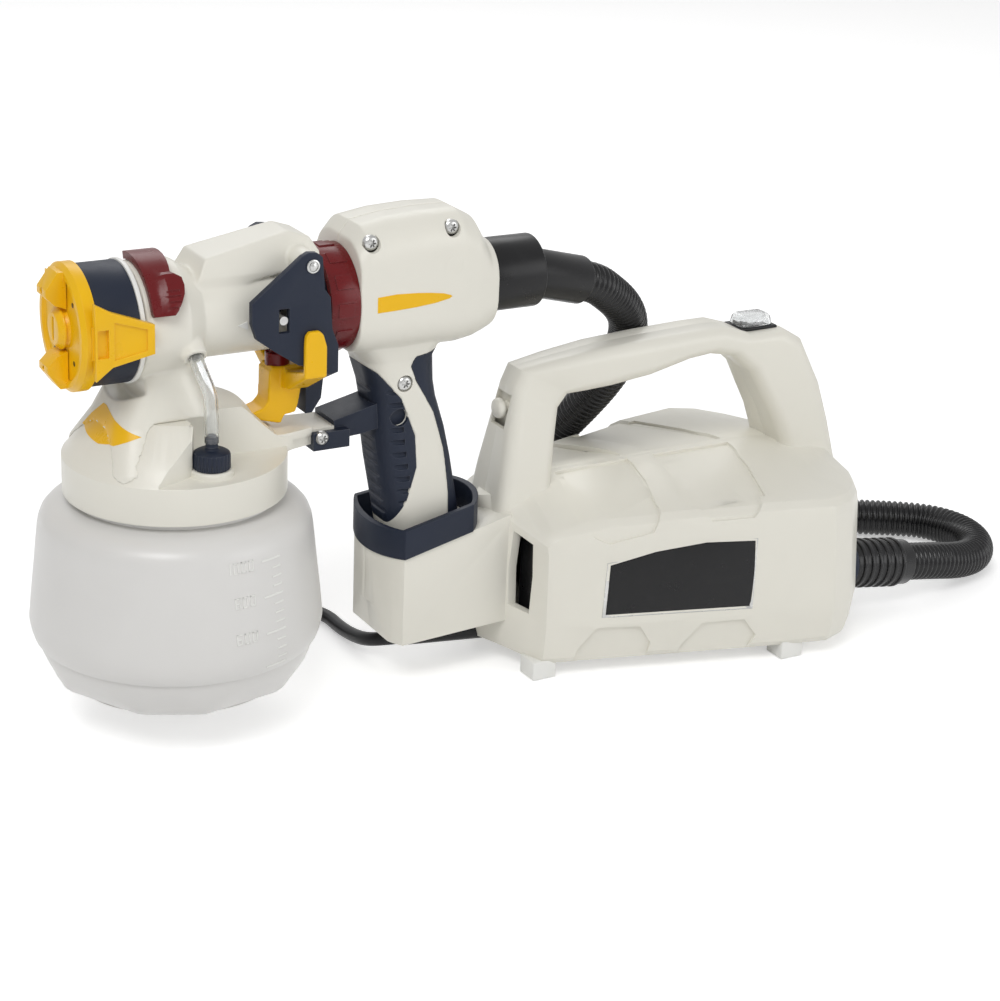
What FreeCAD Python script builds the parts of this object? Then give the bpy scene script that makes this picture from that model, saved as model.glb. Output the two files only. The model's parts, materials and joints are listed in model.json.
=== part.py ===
import FreeCAD
import Part
import math
import os
from FreeCAD import Vector

# Turbine paint sprayer, in millimetres. X runs from the air cap to the back of the base,
# Y from the near side to the far side, Z up from the floor. Everything is drawn with
# the paint cup's axis at X = 0, and shifted by FRAME_X when it is written.

# Heights of the gun, from the floor up
HOLDER_SEAT_Z = 50.0
HANDLE_DROP = 143.6
AXIS_Z = HOLDER_SEAT_Z + HANDLE_DROP
PILLAR_H = 61.6
LID_TOP_Z = AXIS_Z - PILLAR_H

# Fits
RUN_FIT = 0.05
SLIDE_FIT = 0.3
SEAT_FIT = 0.02
HOLDER_FIT = 0.8

# Paint cup and lid
CUP_R = 67.0
CUP_H = 104.7
CUP_WALL = 1.8
CUP_NECK_R = 46.6
CUP_NECK_H = 18.0
CUP_FOOT_R = 58.0
CUP_STEP_R = 63.7
CUP_SHOULDER_R = 62.0
CUP_FLUTES = 10
FLUTE_R = 14.0
FLUTE_DEPTH = 1.5
LID_R = 50.5
LID_WALL = 2.4
LID_SKIRT_H = 19.0
SEAL_T = 2.0
ARM_T = 7.0
ARM_HALF_W = 14.0
ARM_END_X = 74.0
CUP_BOTTOM_Z = LID_TOP_Z - 5.0 - CUP_H
SUCTION_R = 5.5
SUCTION_TOP_Z = LID_TOP_Z + 33.0
VENT_R = 3.15
VENT_CAP_X = 3.0
VENT_CAP_Y = -35.0
VENT_CAP_R = 8.3
GUARD_SCREW_X = 66.0

# Barrel, hood, nozzle end
BARREL_R = 20.5
BARREL_BORE_R = 9.0
BARREL_END_X = 65.0
CHAMBER_R = 26.0
CHAMBER_X = -22.0
NOZZLE_R = 8.5
NOZZLE_TIP_X = -56.0
NOZZLE_BORE_R = 2.6
NEEDLE_R = 1.6
NUT_R = 26.9
NUT_REAR_X = -25.3
NUT_FRONT_X = -44.5
DISC_T = 2.0
CAP_R = 28.3
CAP_FRONT_X = -60.0
CAP_WALL = 3.0
LEVER_R = 29.9
LEVER_W = 18.0

# Trigger
PIVOT_X = 54.0
PIVOT_Z = AXIS_Z + 23.6
PIN_R = 2.5
CHEEK_IN_Y = 25.2
CHEEK_T = 3.3
CROSS_PIN_X = 40.5
CROSS_PIN_R = 2.0
BLADE_HALF_W = 9.5
DIAL_X = 50.0

# Coupling ring and gun shell
RING_R = 24.6
RING_X = 65.6
RING_W = 14.2
SHELL_X = 80.0
SHELL_WALL = 2.5
SHELL_ROUND = 11.0
HANDLE_RAKE = 0.19
HANDLE_X = 120.3
HANDLE_X_Z = 95.0
HANDLE_DEEP = 19.6
HANDLE_WIDE = 15.7
HANDLE_ROUND = 11.5
GRIP_T = 2.0
SCREW_HEAD_R = 4.0
SOCKET_R = 17.5
SOCKET_X = 181.0
SOCKET_Z = AXIS_Z + 1.2
ELBOW_R = 11.8
AIR_TUBE_R = 9.4
AIR_TUBE_DROP = 4.6

# Air hose
HOSE_R = 10.0
HOSE_BORE_R = 7.6
HOSE_PITCH = 5.6
HOSE_RIB = 0.9
CONNECTOR_END_X = 396.0
CONNECTOR_DROP = math.radians(8.4)
CONNECTOR_R = 12.0
PORT_X = 352.0
PORT_Y = -38.0
PORT_Z = 28.0
PORT_R = 13.0

# Base
BASE_X = 156.0
BASE_WALL = 2.6
BASE_FLOOR_Z = 8.0
FOOT_H = 8.0
FOOT_W = 13.0
HANDLE_WALL = 2.4
HOLDER_WALL = 2.6
HOLDER_RING_T = 0.9
COLLAR_WALL = 2.2
HOLDER_FRONT_X = 96.5
HOLDER_SIDE_Y = 26.5
HOLDER_BOTTOM_Z = 24.0
HOLDER_TOP_Z = HOLDER_SEAT_Z + 18.5
FILTER_X0 = 214.0
FILTER_L = 46.0
FILTER_HALF_W = 25.0
PEG_X = 168.7
PEG_Z = 127.0
SWITCH_X = 301.5
SWITCH_L = 22.5
SWITCH_HALF_W = 7.8
SWITCH_Z = 151.0

# Blower inside the base
BLOWER_Z = 49.0
MOUNT_T = 4.0
BEARING_R = 8.0
SHAFT_R = 3.0
SHAFT_X0 = 196.0
SHAFT_L = 112.0
STATOR_R = 27.0
STATOR_BORE_R = 17.0
STATOR_X0 = 206.0
STATOR_L = 58.0
ARMATURE_R = 16.0
WHEEL_R = 33.0
WHEEL_X0 = 279.0
WHEEL_L = 18.0
WHEEL_BLADES = 9
SCROLL_R = 37.5
SCROLL_X0 = 273.0
SCROLL_L = 30.0
SCROLL_WALL = 2.4

# Mains lead
CABLE_R = 3.5
COIL_X = 60.0
COIL_Y = 137.6
COIL_IN_R = 24.5
COIL_PITCH = 7.5
COIL_TURNS = 3.5
COIL_LAYER = 7.6
TAIL_TURN = 17.0
PLUG_L = 34.0
PLUG_AXIS_Z = 13.0

CONNECTOR_FAR_X = CONNECTOR_END_X + CONNECTOR_R * math.sin(CONNECTOR_DROP)
FRAME_X = (CONNECTOR_FAR_X - CUP_R) / 2

AXIS_X = Vector(1, 0, 0)
AXIS_Y = Vector(0, 1, 0)
AXIS_UP = Vector(0, 0, 1)


def disc(x, y, z, axis, radius, length):
    return Part.makeCylinder(radius, length, Vector(x, y, z), axis)


def pipe(x, y, z, axis, outer, inner, length):
    return disc(x, y, z, axis, outer, length).cut(disc(x, y, z, axis, inner, length))


def cone(x, y, z, axis, radius_a, radius_b, length):
    return Part.makeCone(radius_a, radius_b, length, Vector(x, y, z), axis)


def box(x0, x1, y0, y1, z0, z1):
    return Part.makeBox(x1 - x0, y1 - y0, z1 - z0, Vector(x0, y0, z0))


def closed(points):
    return Part.makePolygon(points + [points[0]])


def plate_xz(outline, y0, y1):
    wire = closed([Vector(x, y0, z) for x, z in outline])
    return Part.Face(wire).extrude(Vector(0, y1 - y0, 0))


def plate_xy(outline, z0, z1):
    wire = closed([Vector(x, y, z0) for x, y in outline])
    return Part.Face(wire).extrude(Vector(0, 0, z1 - z0))


def plate_yz(outline, x0, x1):
    wire = closed([Vector(x0, y, z) for y, z in outline])
    return Part.Face(wire).extrude(Vector(x1 - x0, 0, 0))


def revolve_up(profile, x=0.0, y=0.0):
    wire = closed([Vector(x + r, y, z) for r, z in profile])
    return Part.Face(wire).revolve(Vector(x, y, 0), AXIS_UP, 360)


def revolve_along_x(profile, y, z):
    wire = closed([Vector(x, y + r, z) for x, r in profile])
    return Part.Face(wire).revolve(Vector(0, y, z), AXIS_X, 360)


def ruled(wires):
    return Part.makeLoft(wires, True, True)


def rounded(centre, along, across, half_a, half_b, corner):
    """A rectangle with round corners, about a centre, in the plane of two directions."""
    corner = min(corner, 0.96 * half_a, 0.96 * half_b)
    mid = corner * (1 - math.sqrt(0.5))
    edges = []
    last = None
    first = None
    for sa, sb, flip in ((1, -1, False), (1, 1, True), (-1, 1, False), (-1, -1, True)):
        a_side = centre + along * (sa * half_a) + across * (sb * (half_b - corner))
        b_side = centre + along * (sa * (half_a - corner)) + across * (sb * half_b)
        bend = centre + along * (sa * (half_a - mid)) + across * (sb * (half_b - mid))
        start, end = (a_side, b_side) if flip else (b_side, a_side)
        if last is None:
            first = start
        else:
            edges.append(Part.LineSegment(last, start).toShape())
        edges.append(Part.Arc(start, bend, end).toShape())
        last = end
    edges.append(Part.LineSegment(last, first).toShape())
    return Part.Wire(edges)


def fused(shapes):
    solid = shapes[0].fuse(shapes[1:]) if len(shapes) > 1 else shapes[0]
    return solid.removeSplitter()


def keep_solid(shape):
    """The largest solid of a result, without slivers that a cut leaves behind."""
    return max(shape.Solids, key=lambda solid: solid.Volume)


def side(shape, sign):
    """The half of a shape on one side of the plane Y = 0."""
    big = 900.0
    half = box(-big, big, 0, big, -big, big) if sign > 0 else box(-big, big, -big, 0, -big, big)
    return keep_solid(shape.common(half))


# Nozzle end

def air_cap():
    """Yellow cap: a banded disc with two air horns, and an ear on each side to turn it by."""
    z = AXIS_Z
    rear = NUT_FRONT_X - SLIDE_FIT
    band_front = CAP_FRONT_X + 8.0
    plate_back = rear - 2.0
    profile = [
        (rear, CAP_R), (band_front + 2.0, CAP_R), (band_front, CAP_R - 2.0), (band_front, CAP_R - 4.5),
        (band_front + 1.6, CAP_R - 5.5), (band_front + 1.6, 9.0), (band_front - 0.6, 8.0),
        (band_front - 0.6, NOZZLE_R - 4.2), (plate_back, NOZZLE_R - 4.2), (plate_back, CAP_R - CAP_WALL),
        (rear, CAP_R - CAP_WALL),
    ]
    cap = revolve_along_x(profile, 0, z)
    horn_outline = [
        (band_front + 1.2, 26.0), (band_front - 2.5, 26.0), (CAP_FRONT_X, 18.5), (CAP_FRONT_X, 15.5),
        (band_front - 4.0, 11.5), (band_front + 1.2, 9.5),
    ]
    half_horn = 5.5
    horns = []
    for sign in (1, -1):
        outline = [(x, z + sign * h) for x, h in horn_outline]
        horn = plate_xz(outline, -half_horn, half_horn)
        jet = disc(CAP_FRONT_X - 1.0, 0, z + sign * 18.0, Vector(1, 0, -sign * 0.45), 1.3, 9.0)
        horns.append(horn.cut(jet))
    ears = []
    ear_end = CHAMBER_X + 1.1
    ear_outline = [
        (band_front + 4.5, z - 16.0), (NUT_FRONT_X + 4.5, z - 10.3), (ear_end, z - 6.5),
        (ear_end, z + 6.5), (NUT_FRONT_X + 4.5, z + 13.7), (band_front + 4.5, z + 18.0),
    ]
    window = box(NUT_FRONT_X - 2.0, NUT_FRONT_X + 3.0, -40, 40, z - 6.0, z + 6.5)
    for sign in (1, -1):
        inner, outer = sign * (CAP_R - 0.6), sign * (CAP_R + 2.7)
        ear = plate_xz(ear_outline, min(inner, outer), max(inner, outer))
        bore = disc(band_front - 5, 0, z, AXIS_X, CAP_R - CAP_WALL, 60)
        ears.append(ear.cut(bore).cut(window))
    return keep_solid(fused([cap] + horns + ears))


def union_nut():
    z = AXIS_Z
    front_lip = pipe(NUT_FRONT_X, 0, z, AXIS_X, NUT_R, CHAMBER_R - 6.0, 2.0)
    length = NUT_REAR_X - NUT_FRONT_X
    sleeve = pipe(NUT_FRONT_X, 0, z, AXIS_X, NUT_R, CHAMBER_R - 3.5 + SEAT_FIT, length)
    return fused([sleeve, front_lip])


def seal_disc():
    """Thin pale disc between the nut and the body."""
    return pipe(NUT_REAR_X, 0, AXIS_Z, AXIS_X, NUT_R + 0.6, CHAMBER_R - 3.5 + SEAT_FIT, DISC_T)


def nozzle():
    z = AXIS_Z
    root = CHAMBER_X - 4.0
    profile = [
        (root, NOZZLE_R), (NUT_FRONT_X + 3.0, NOZZLE_R), (NUT_FRONT_X - 1.0, 5.0), (NUT_FRONT_X - 4.0, 3.4),
        (NOZZLE_TIP_X + 3.0, 3.4), (NOZZLE_TIP_X + 3.0, 1.5), (NUT_FRONT_X - 3.0, 1.5),
        (NUT_FRONT_X + 1.0, NOZZLE_BORE_R), (root, NOZZLE_BORE_R),
    ]
    return revolve_along_x(profile, 0, z)


def needle():
    """Needle with the cross pin that the trigger pulls, and the collar its spring pushes."""
    z = AXIS_Z
    tip = NOZZLE_TIP_X + 3.5
    point = cone(tip, 0, z, AXIS_X, 0.4, NEEDLE_R - 0.2, 10.0)
    shaft_length = BARREL_END_X - 3.0 - (tip + 10.0)
    shaft = disc(tip + 10.0, 0, z, AXIS_X, NEEDLE_R, shaft_length)
    neck = cone(tip + 9.0, 0, z, AXIS_X, NEEDLE_R - 0.2, NEEDLE_R, 2.0)
    cross = disc(CROSS_PIN_X, -CHEEK_IN_Y - 2.6, z, AXIS_Y, CROSS_PIN_R, 2 * CHEEK_IN_Y + 5.2)
    hub = disc(CROSS_PIN_X - 4.0, 0, z, AXIS_X, 4.5, 8.0)
    return fused([point, neck, shaft, cross, hub])


def helix_spring(x0, length, radius, wire_r, turns):
    """An unbroken coil along X, one biarc for each quarter turn."""
    z = AXIS_Z
    def place(s):
        turn = 2 * math.pi * s
        return Vector(x0 + length * s / turns, radius * math.sin(turn), z + radius * math.cos(turn))
    return round_tube(quarter_turns(place, turns), wire_r)


def needle_spring():
    start = CROSS_PIN_X + 5.0 + wire_of_spring()
    end = BARREL_END_X - 4.2 - wire_of_spring()
    return helix_spring(start, end - start, 5.4, wire_of_spring(), 5)


def wire_of_spring():
    return 0.6


def needle_packing():
    return pipe(22.0, 0, AXIS_Z, AXIS_X, BARREL_BORE_R, NEEDLE_R + RUN_FIT, 7.0)


def jet_width_lever():
    """Red part ring round the front chamber, with a finger tab on the near side."""
    z = AXIS_Z
    x0 = CHAMBER_X + 1.7
    inner = CHAMBER_R + 0.3
    ring = pipe(x0, 0, z, AXIS_X, LEVER_R, inner, LEVER_W)
    reach = 60.0
    top_back = (reach * math.sin(math.radians(12)), reach * math.cos(math.radians(12)))
    wedge = [
        (0, z), (top_back[0], z + top_back[1]), (-reach, z + reach), (-reach, z + 0.2), (0, z + 0.2),
    ]
    arc = keep_solid(ring.common(plate_yz(wedge, x0 - 1, x0 + LEVER_W + 1)))
    tab_outline = [
        (x0 + 5.0, z + 1.5), (x0 + 18.5, z + 1.0), (x0 + 21.0, z + 5.0), (x0 + 20.5, z + 17.0),
        (x0 + 14.0, z + 19.0), (x0 + 5.0, z + 14.0),
    ]
    tab = plate_xz(tab_outline, -LEVER_R - 2.4, -LEVER_R + 4.0)
    tab = tab.cut(disc(x0 - 1, 0, z, AXIS_X, inner, LEVER_W + 8))
    return keep_solid(fused([arc, tab]))


# Front body

def hood():
    """The raised roof on the barrel, narrower at its top."""
    z = AXIS_Z
    outline = [(2, 11), (10, 27), (50.7, 35.3), (60.6, 32), (65.2, 24.5), (60, 19), (33, 16), (10, 10)]
    low, high = 15.0, 9.5
    block = plate_xz([(x, z + h) for x, h in outline], -low, low)
    roof = [(-low - 1, z), (-low, z + 19), (-high, z + 36.5), (high, z + 36.5), (low, z + 19), (low + 1, z)]
    return block.common(plate_yz(roof, -2, 70))


def pillar():
    rows = [
        (LID_TOP_Z - 4.0, -42.0, 32.0, 37.0), (LID_TOP_Z + 2.0, -40.0, 30.0, 36.0),
        (LID_TOP_Z + 18.0, -34.0, 14.0, 24.0), (LID_TOP_Z + 40.0, -24.0, 6.5, 18.0),
        (AXIS_Z - 4.0, -22.0, 6.5, 17.0),
    ]
    wires = []
    for z, x0, x1, half_y in rows:
        centre = Vector((x0 + x1) / 2, 0, z)
        wires.append(rounded(centre, AXIS_X, AXIS_Y, (x1 - x0) / 2, half_y, 12.0))
    body = ruled(wires)
    swing = disc(CAP_FRONT_X - 5, 0, AXIS_Z, AXIS_X, CAP_R + 6.0, CHAMBER_X + 1.5 - (CAP_FRONT_X - 5))
    return body.cut(swing)


def vent_socket_axis():
    start = Vector(0, -25.5, 181.0)
    end = Vector(0, -15.0, 189.5)
    return start, end


def front_body():
    """Barrel, chamber, hood and the pillar that stands on the lid."""
    z = AXIS_Z
    barrel = disc(-3.0, 0, z, AXIS_X, BARREL_R, BARREL_END_X + 3.0)
    chamber = disc(CHAMBER_X - 0.3, 0, z, AXIS_X, CHAMBER_R, -CHAMBER_X - 1.7)
    taper = cone(-2.0, 0, z, AXIS_X, CHAMBER_R, BARREL_R, 9.0)
    thread = disc(NUT_FRONT_X + 6.0, 0, z, AXIS_X, CHAMBER_R - 3.5, CHAMBER_X - NUT_FRONT_X - 5.0)
    start, end = vent_socket_axis()
    along = end - start
    socket = Part.makeCylinder(5.4, along.Length, start, along)
    boss_length = CHEEK_IN_Y - 0.4
    boss = disc(PIVOT_X, -boss_length, PIVOT_Z, AXIS_Y, 5.6, 2 * boss_length)
    body = fused([barrel, chamber, taper, thread, socket, boss, hood(), pillar().cut(lid_outside())])
    body = body.cut(disc(CHAMBER_X - 2.0, 0, z, AXIS_X, BARREL_BORE_R, BARREL_END_X - 2.0 - CHAMBER_X))
    body = body.cut(disc(NUT_FRONT_X, 0, z, AXIS_X, NOZZLE_R + SEAT_FIT, CHAMBER_X - NUT_FRONT_X))
    body = body.cut(disc(CHAMBER_X - 5, 0, z, AXIS_X, NOZZLE_BORE_R + 1, 8))
    body = body.cut(disc(BARREL_END_X - 5, 0, z, AXIS_X, NEEDLE_R + 0.4, 10))
    air_way = disc(CHAMBER_X - 1, 0, z + 14.2, AXIS_X, 3.6, BARREL_END_X - CHAMBER_X + 3)
    front_way = disc(NUT_FRONT_X, 0, z + 14.2, AXIS_X, 3.6, 30)
    pin_way = box(CROSS_PIN_X - 2.6, CROSS_PIN_X + 7.0, -40, 40, z - 2.6, z + 2.6)
    pin_hole = disc(PIVOT_X, -40, PIVOT_Z, AXIS_Y, PIN_R + SEAT_FIT, 80)
    paint_way = disc(0, 0, 120, AXIS_UP, 4.0, z - 120)
    tube_way = disc(0, 0, 120, AXIS_UP, SUCTION_R + SEAT_FIT, SUCTION_TOP_Z - 120)
    dial_way = disc(DIAL_X, 0, z - BARREL_R - 4.0, AXIS_UP, 3.0 + RUN_FIT, 8.0)
    vent_way = Part.makeCylinder(VENT_R + SEAT_FIT, along.Length - 2.0, start, along)
    for tool in (air_way, front_way, pin_way, pin_hole, paint_way, tube_way, dial_way, vent_way, vent_pocket()):
        body = body.cut(tool)
    return keep_solid(body)


def trigger_pin():
    half = CHEEK_IN_Y + CHEEK_T + 0.5
    shank = disc(PIVOT_X, -half, PIVOT_Z, AXIS_Y, PIN_R, 2 * half)
    head = disc(PIVOT_X, -half - 1.0, PIVOT_Z, AXIS_Y, 3.1, 1.0)
    clip = disc(PIVOT_X, half, PIVOT_Z, AXIS_Y, 3.1, 1.0)
    return fused([shank, head, clip])


def flow_dial():
    z0 = AXIS_Z - BARREL_R - 9.0
    knob = disc(DIAL_X, 0, z0, AXIS_UP, 5.6, 6.6)
    stem = disc(DIAL_X, 0, z0 + 6.6, AXIS_UP, 3.0, 5.6)
    return fused([knob, stem])


# Trigger

def trigger_yoke():
    """Two navy cheeks on the pivot pin, a fork below the barrel, and the rear blade."""
    outline = [
        (49.0, 222.0), (52.0, 223.4), (56.0, 223.0), (58.8, 220.8), (60.0, 206.1), (62.9, 202.0),
        (63.9, 187.3), (67.0, 179.5), (67.0, 171.0), (60.6, 169.1), (47.4, 172.4), (36.1, 179.9),
        (27.4, 186.4), (25.0, 193.5), (25.0, 203.2),
    ]
    cheeks = []
    slot = box(CROSS_PIN_X - CROSS_PIN_R - 0.5, CROSS_PIN_X + CROSS_PIN_R + 0.5, -60, 60, AXIS_Z - 5.5, AXIS_Z + 5.5)
    pivot = disc(PIVOT_X, -60, PIVOT_Z, AXIS_Y, PIN_R + RUN_FIT, 120)
    for sign in (1, -1):
        inner, outer = sign * CHEEK_IN_Y, sign * (CHEEK_IN_Y + CHEEK_T)
        cheeks.append(plate_xz(outline, min(inner, outer), max(inner, outer)))
    out_y = CHEEK_IN_Y + CHEEK_T
    half_fork = [(out_y, 174.0), (out_y, 167.0), (11.0, 158.0)]
    half_inner = [(8.5, 165.2), (CHEEK_IN_Y, 171.5), (CHEEK_IN_Y, 174.0)]
    left = [(-y, z) for y, z in reversed(half_fork)]
    left_inner = [(-y, z) for y, z in reversed(half_inner)]
    fork_outline = half_fork + left + left_inner + half_inner
    fork = plate_yz(fork_outline, 60.6, 67.0)
    blade_outline = [(60.6, 165.2), (66.5, 165.2), (70.0, 161.5), (68.5, 148.0), (64.0, 141.5), (60.6, 141.5)]
    blade = plate_xz(blade_outline, -8.0, 8.0)
    yoke = fused(cheeks + [fork, blade])
    return keep_solid(yoke.cut(slot).cut(pivot))


def trigger_blade():
    """Yellow finger pad in front of the yoke, with an arm hooked round each cheek."""
    pad_outline = [
        (43.5, 163.4), (43.0, 149.0), (40.5, 146.0), (34.0, 144.0), (37.0, 141.0), (48.0, 138.0),
        (54.5, 139.2), (57.5, 146.0), (60.3, 158.0), (60.3, 163.4),
    ]
    pad = plate_xz(pad_outline, -BLADE_HALF_W, BLADE_HALF_W)
    wing_outline = [(43.5, 163.0), (44.0, 171.5), (46.0, 170.0), (50.0, 165.0), (54.0, 163.0)]
    pieces = [pad]
    arm_x0, arm_x1 = 49.5, 60.3
    cheek_y = CHEEK_IN_Y + CHEEK_T
    for sign in (1, -1):
        inner, outer = sign * (BLADE_HALF_W - 2.0), sign * BLADE_HALF_W
        pieces.append(plate_xz(wing_outline, min(inner, outer), max(inner, outer)))
        arm_outline = [
            (7.5, 157.0), (12.0, 155.5), (cheek_y + 2.9, 166.5), (cheek_y + 2.9, 188.0), (cheek_y + 0.02, 188.0),
            (cheek_y + 0.02, 168.9), (9.0, 163.3), (7.5, 163.3),
        ]
        arm = plate_yz([(sign * y, z) for y, z in arm_outline], arm_x0, arm_x1)
        pieces.append(arm)
    hook_round = plate_xz(
        [(49.0, 150.0), (61.0, 150.0), (61.0, 178.0), (58.5, 186.0), (56.0, 188.5), (52.0, 188.5), (50.0, 186.0),
         (49.0, 178.0)], -60, 60)
    front = plate_xz([(20.0, 130.0), (49.2, 130.0), (49.2, 175.0), (20.0, 175.0)], -60, 60)
    blade = fused(pieces)
    return keep_solid(blade.common(hook_round.fuse(front)))


# Paint cup and lid

def cup_profile(inset, floor, top):
    """Half outline of the cup, set in by its wall for the inside."""
    b = CUP_BOTTOM_Z
    return [
        (CUP_FOOT_R - 6 - inset, b + floor), (CUP_FOOT_R - inset * 1.6, b + 4 + floor),
        (CUP_STEP_R - inset * 1.6, b + 21.1), (CUP_R - inset, b + 29.4), (CUP_SHOULDER_R - inset, b + 76.2),
        (CUP_NECK_R - inset, b + CUP_H - CUP_NECK_H + 1), (CUP_NECK_R - inset, top),
    ]


def container():
    top = CUP_BOTTOM_Z + CUP_H
    outside = revolve_up([(0, CUP_BOTTOM_Z)] + cup_profile(0, 0, top) + [(0, top)])
    inside = revolve_up([(0, CUP_BOTTOM_Z + CUP_WALL)] + cup_profile(CUP_WALL, CUP_WALL, top + 1) + [(0, top + 1)])
    threads = []
    for height in (3.0, 8.0):
        thread_r = LID_R - LID_WALL - SLIDE_FIT
        threads.append(pipe(0, 0, top - height - 4, AXIS_UP, thread_r, CUP_NECK_R - 0.5, 2.0))
    cup = fused([outside] + threads).cut(inside)
    lean = math.atan2(CUP_STEP_R - CUP_FOOT_R, 17.1)
    for index in range(CUP_FLUTES):
        turn = 2 * math.pi * index / CUP_FLUTES
        away = Vector(math.cos(turn), math.sin(turn), 0)
        foot = away * (CUP_FOOT_R + FLUTE_R - FLUTE_DEPTH) + Vector(0, 0, CUP_BOTTOM_Z - 2)
        axis = away * math.sin(lean) + AXIS_UP * math.cos(lean)
        cup = cup.cut(Part.makeCylinder(FLUTE_R, 20.0, foot, axis))
    return keep_solid(cup)


def lid_outside():
    z = LID_TOP_Z
    return revolve_up([
        (0, z - 10), (LID_R, z - 10), (LID_R, z - 2), (LID_R - 2.5, z + 0.8), (LID_R - 5.5, z + 5), (30, z + 20),
        (0, z + 20),
    ])


def vent_pocket():
    """Flat seat for the vent cap in the flank of the lid's dome."""
    return disc(VENT_CAP_X, VENT_CAP_Y, LID_TOP_Z + 1, AXIS_UP, VENT_CAP_R + 1.5, 24.0)


def container_lid():
    z = LID_TOP_Z
    skirt = disc(0, 0, z - LID_SKIRT_H, AXIS_UP, LID_R, LID_SKIRT_H - 8)
    arm_outline = [(40, -19), (52, -ARM_HALF_W), (ARM_END_X - 13, -11.5), (ARM_END_X, -10.5)]
    arm_outline += [(x, -y) for x, y in reversed(arm_outline)]
    arm = plate_xy(arm_outline, z + 2.5 - ARM_T, z + 2.5)
    boss = disc(VENT_CAP_X, VENT_CAP_Y, z - 3, AXIS_UP, VENT_CAP_R + 2.5, 4.0)
    hollow = revolve_up([
        (0, z - LID_SKIRT_H - 1), (LID_R - LID_WALL, z - LID_SKIRT_H - 1), (LID_R - LID_WALL, z - 3), (40, z - 3),
        (40, z + 2), (37, z + 5), (26, z + 17), (0, z + 17),
    ])
    lid = fused([skirt, lid_outside(), arm]).cut(hollow)
    lid = fused([lid, boss]).cut(vent_pocket())
    lid = lid.cut(box(31.5, 60, -30, 30, z + 4.5, z + 30))
    lid = lid.cut(disc(VENT_CAP_X, VENT_CAP_Y, z - 8, AXIS_UP, 1.5, 20))
    lid = lid.cut(disc(0, 0, z, AXIS_UP, SUCTION_R + SEAT_FIT, 30))
    lid = lid.cut(disc(GUARD_SCREW_X, -20, z - 2.4, AXIS_Y, 1.4 + SEAT_FIT, 20))
    return keep_solid(lid)


def container_seal():
    return pipe(0, 0, LID_TOP_Z - 3 - SEAL_T, AXIS_UP, LID_R - LID_WALL - 0.1, 40.5, SEAL_T)


def suction_tube():
    z0 = CUP_BOTTOM_Z + 14
    return pipe(0, 0, z0, AXIS_UP, SUCTION_R, SUCTION_R - 1.4, SUCTION_TOP_Z - z0)


def suction_strainer():
    z0 = CUP_BOTTOM_Z + 5
    cage = pipe(0, 0, z0, AXIS_UP, SUCTION_R + 3, SUCTION_R + 1.4, 16)
    roof = pipe(0, 0, z0 + 14, AXIS_UP, SUCTION_R + 3, SUCTION_R + SEAT_FIT, 2)
    slots = [box(-20, 20, -1.2, 1.2, z0 + 3, z0 + 11), box(-1.2, 1.2, -20, 20, z0 + 3, z0 + 11)]
    return keep_solid(fused([cage, roof]).cut(slots[0]).cut(slots[1]))


def vent_cap():
    """Knurled cap of the pressure valve, with the barb that the vent tube is pushed on."""
    z = LID_TOP_Z + 1
    cap = disc(VENT_CAP_X, VENT_CAP_Y, z, AXIS_UP, VENT_CAP_R, 9.5)
    collar = disc(VENT_CAP_X, VENT_CAP_Y, z + 9.5, AXIS_UP, 4.2, 2.5)
    barb = disc(VENT_CAP_X, VENT_CAP_Y, z + 12, AXIS_UP, VENT_R - 0.9 - SEAT_FIT, 4.0)
    way = disc(VENT_CAP_X, VENT_CAP_Y, z - 1, AXIS_UP, 0.9, 30)
    return fused([cap, collar, barb]).cut(way)


def vent_tube():
    start, end = vent_socket_axis()
    foot = Vector(VENT_CAP_X, VENT_CAP_Y, LID_TOP_Z + 13.0)
    along = (end - start).normalize()
    inside = start + along * 9.5
    route = [foot, foot + Vector(0, 0, 12), foot + Vector(-0.5, 0.0, 22.5), start - along * 8, inside]
    outer = round_tube(rounded_route(route, "vent tube", 2 * VENT_R), VENT_R)
    bore = round_tube(rounded_route(route, None, 2 * VENT_R), VENT_R - 0.9)
    return keep_solid(outer.cut(bore))


# Tubes

def tangent_arc(start, direction, end):
    """The arc from a point with a known direction to another point, as three points."""
    chord = end - start
    across = chord - direction * chord.dot(direction)
    if across.Length < 1e-6:
        return None
    across.normalize()
    angle = math.atan2(chord.dot(across), chord.dot(direction))
    radius = chord.Length / (2 * math.sin(angle))
    return start + direction * (radius * math.sin(angle)) + across * (radius * (1 - math.cos(angle)))


def biarc(p0, t0, p1, t1):
    """Two tangent arcs, or lines, between two points with directions."""
    v = p1 - p0
    t = t0 + t1
    k = 2 * (1 - t0.dot(t1))
    if abs(k) < 1e-9:
        reach = v.dot(v) / (4 * v.dot(t1))
    else:
        reach = (-v.dot(t) + math.sqrt(v.dot(t) ** 2 + k * v.dot(v))) / k
    joint = (p0 + t0 * reach + p1 - t1 * reach) * 0.5
    bend_a = tangent_arc(p0, t0, joint)
    bend_b = tangent_arc(p1, t1 * -1, joint)
    edges = []
    if bend_a is None:
        edges.append(Part.LineSegment(p0, joint).toShape())
    else:
        edges.append(Part.Arc(p0, bend_a, joint).toShape())
    if bend_b is None:
        edges.append(Part.LineSegment(joint, p1).toShape())
    else:
        edges.append(Part.Arc(joint, bend_b, p1).toShape())
    return edges


def quarter_turns(place, turns):
    """A wire of biarcs along a winding, one for each quarter turn."""
    steps = int(round(turns * 4))
    step = 0.002
    points = [place(i / 4) for i in range(steps + 1)]
    ways = []
    for i in range(steps + 1):
        way = place(i / 4 + step) - place(i / 4 - step)
        way.normalize()
        ways.append(way)
    edges = []
    for i in range(steps):
        edges += biarc(points[i], ways[i], points[i + 1], ways[i + 1])
    return Part.Wire(edges)


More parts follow.
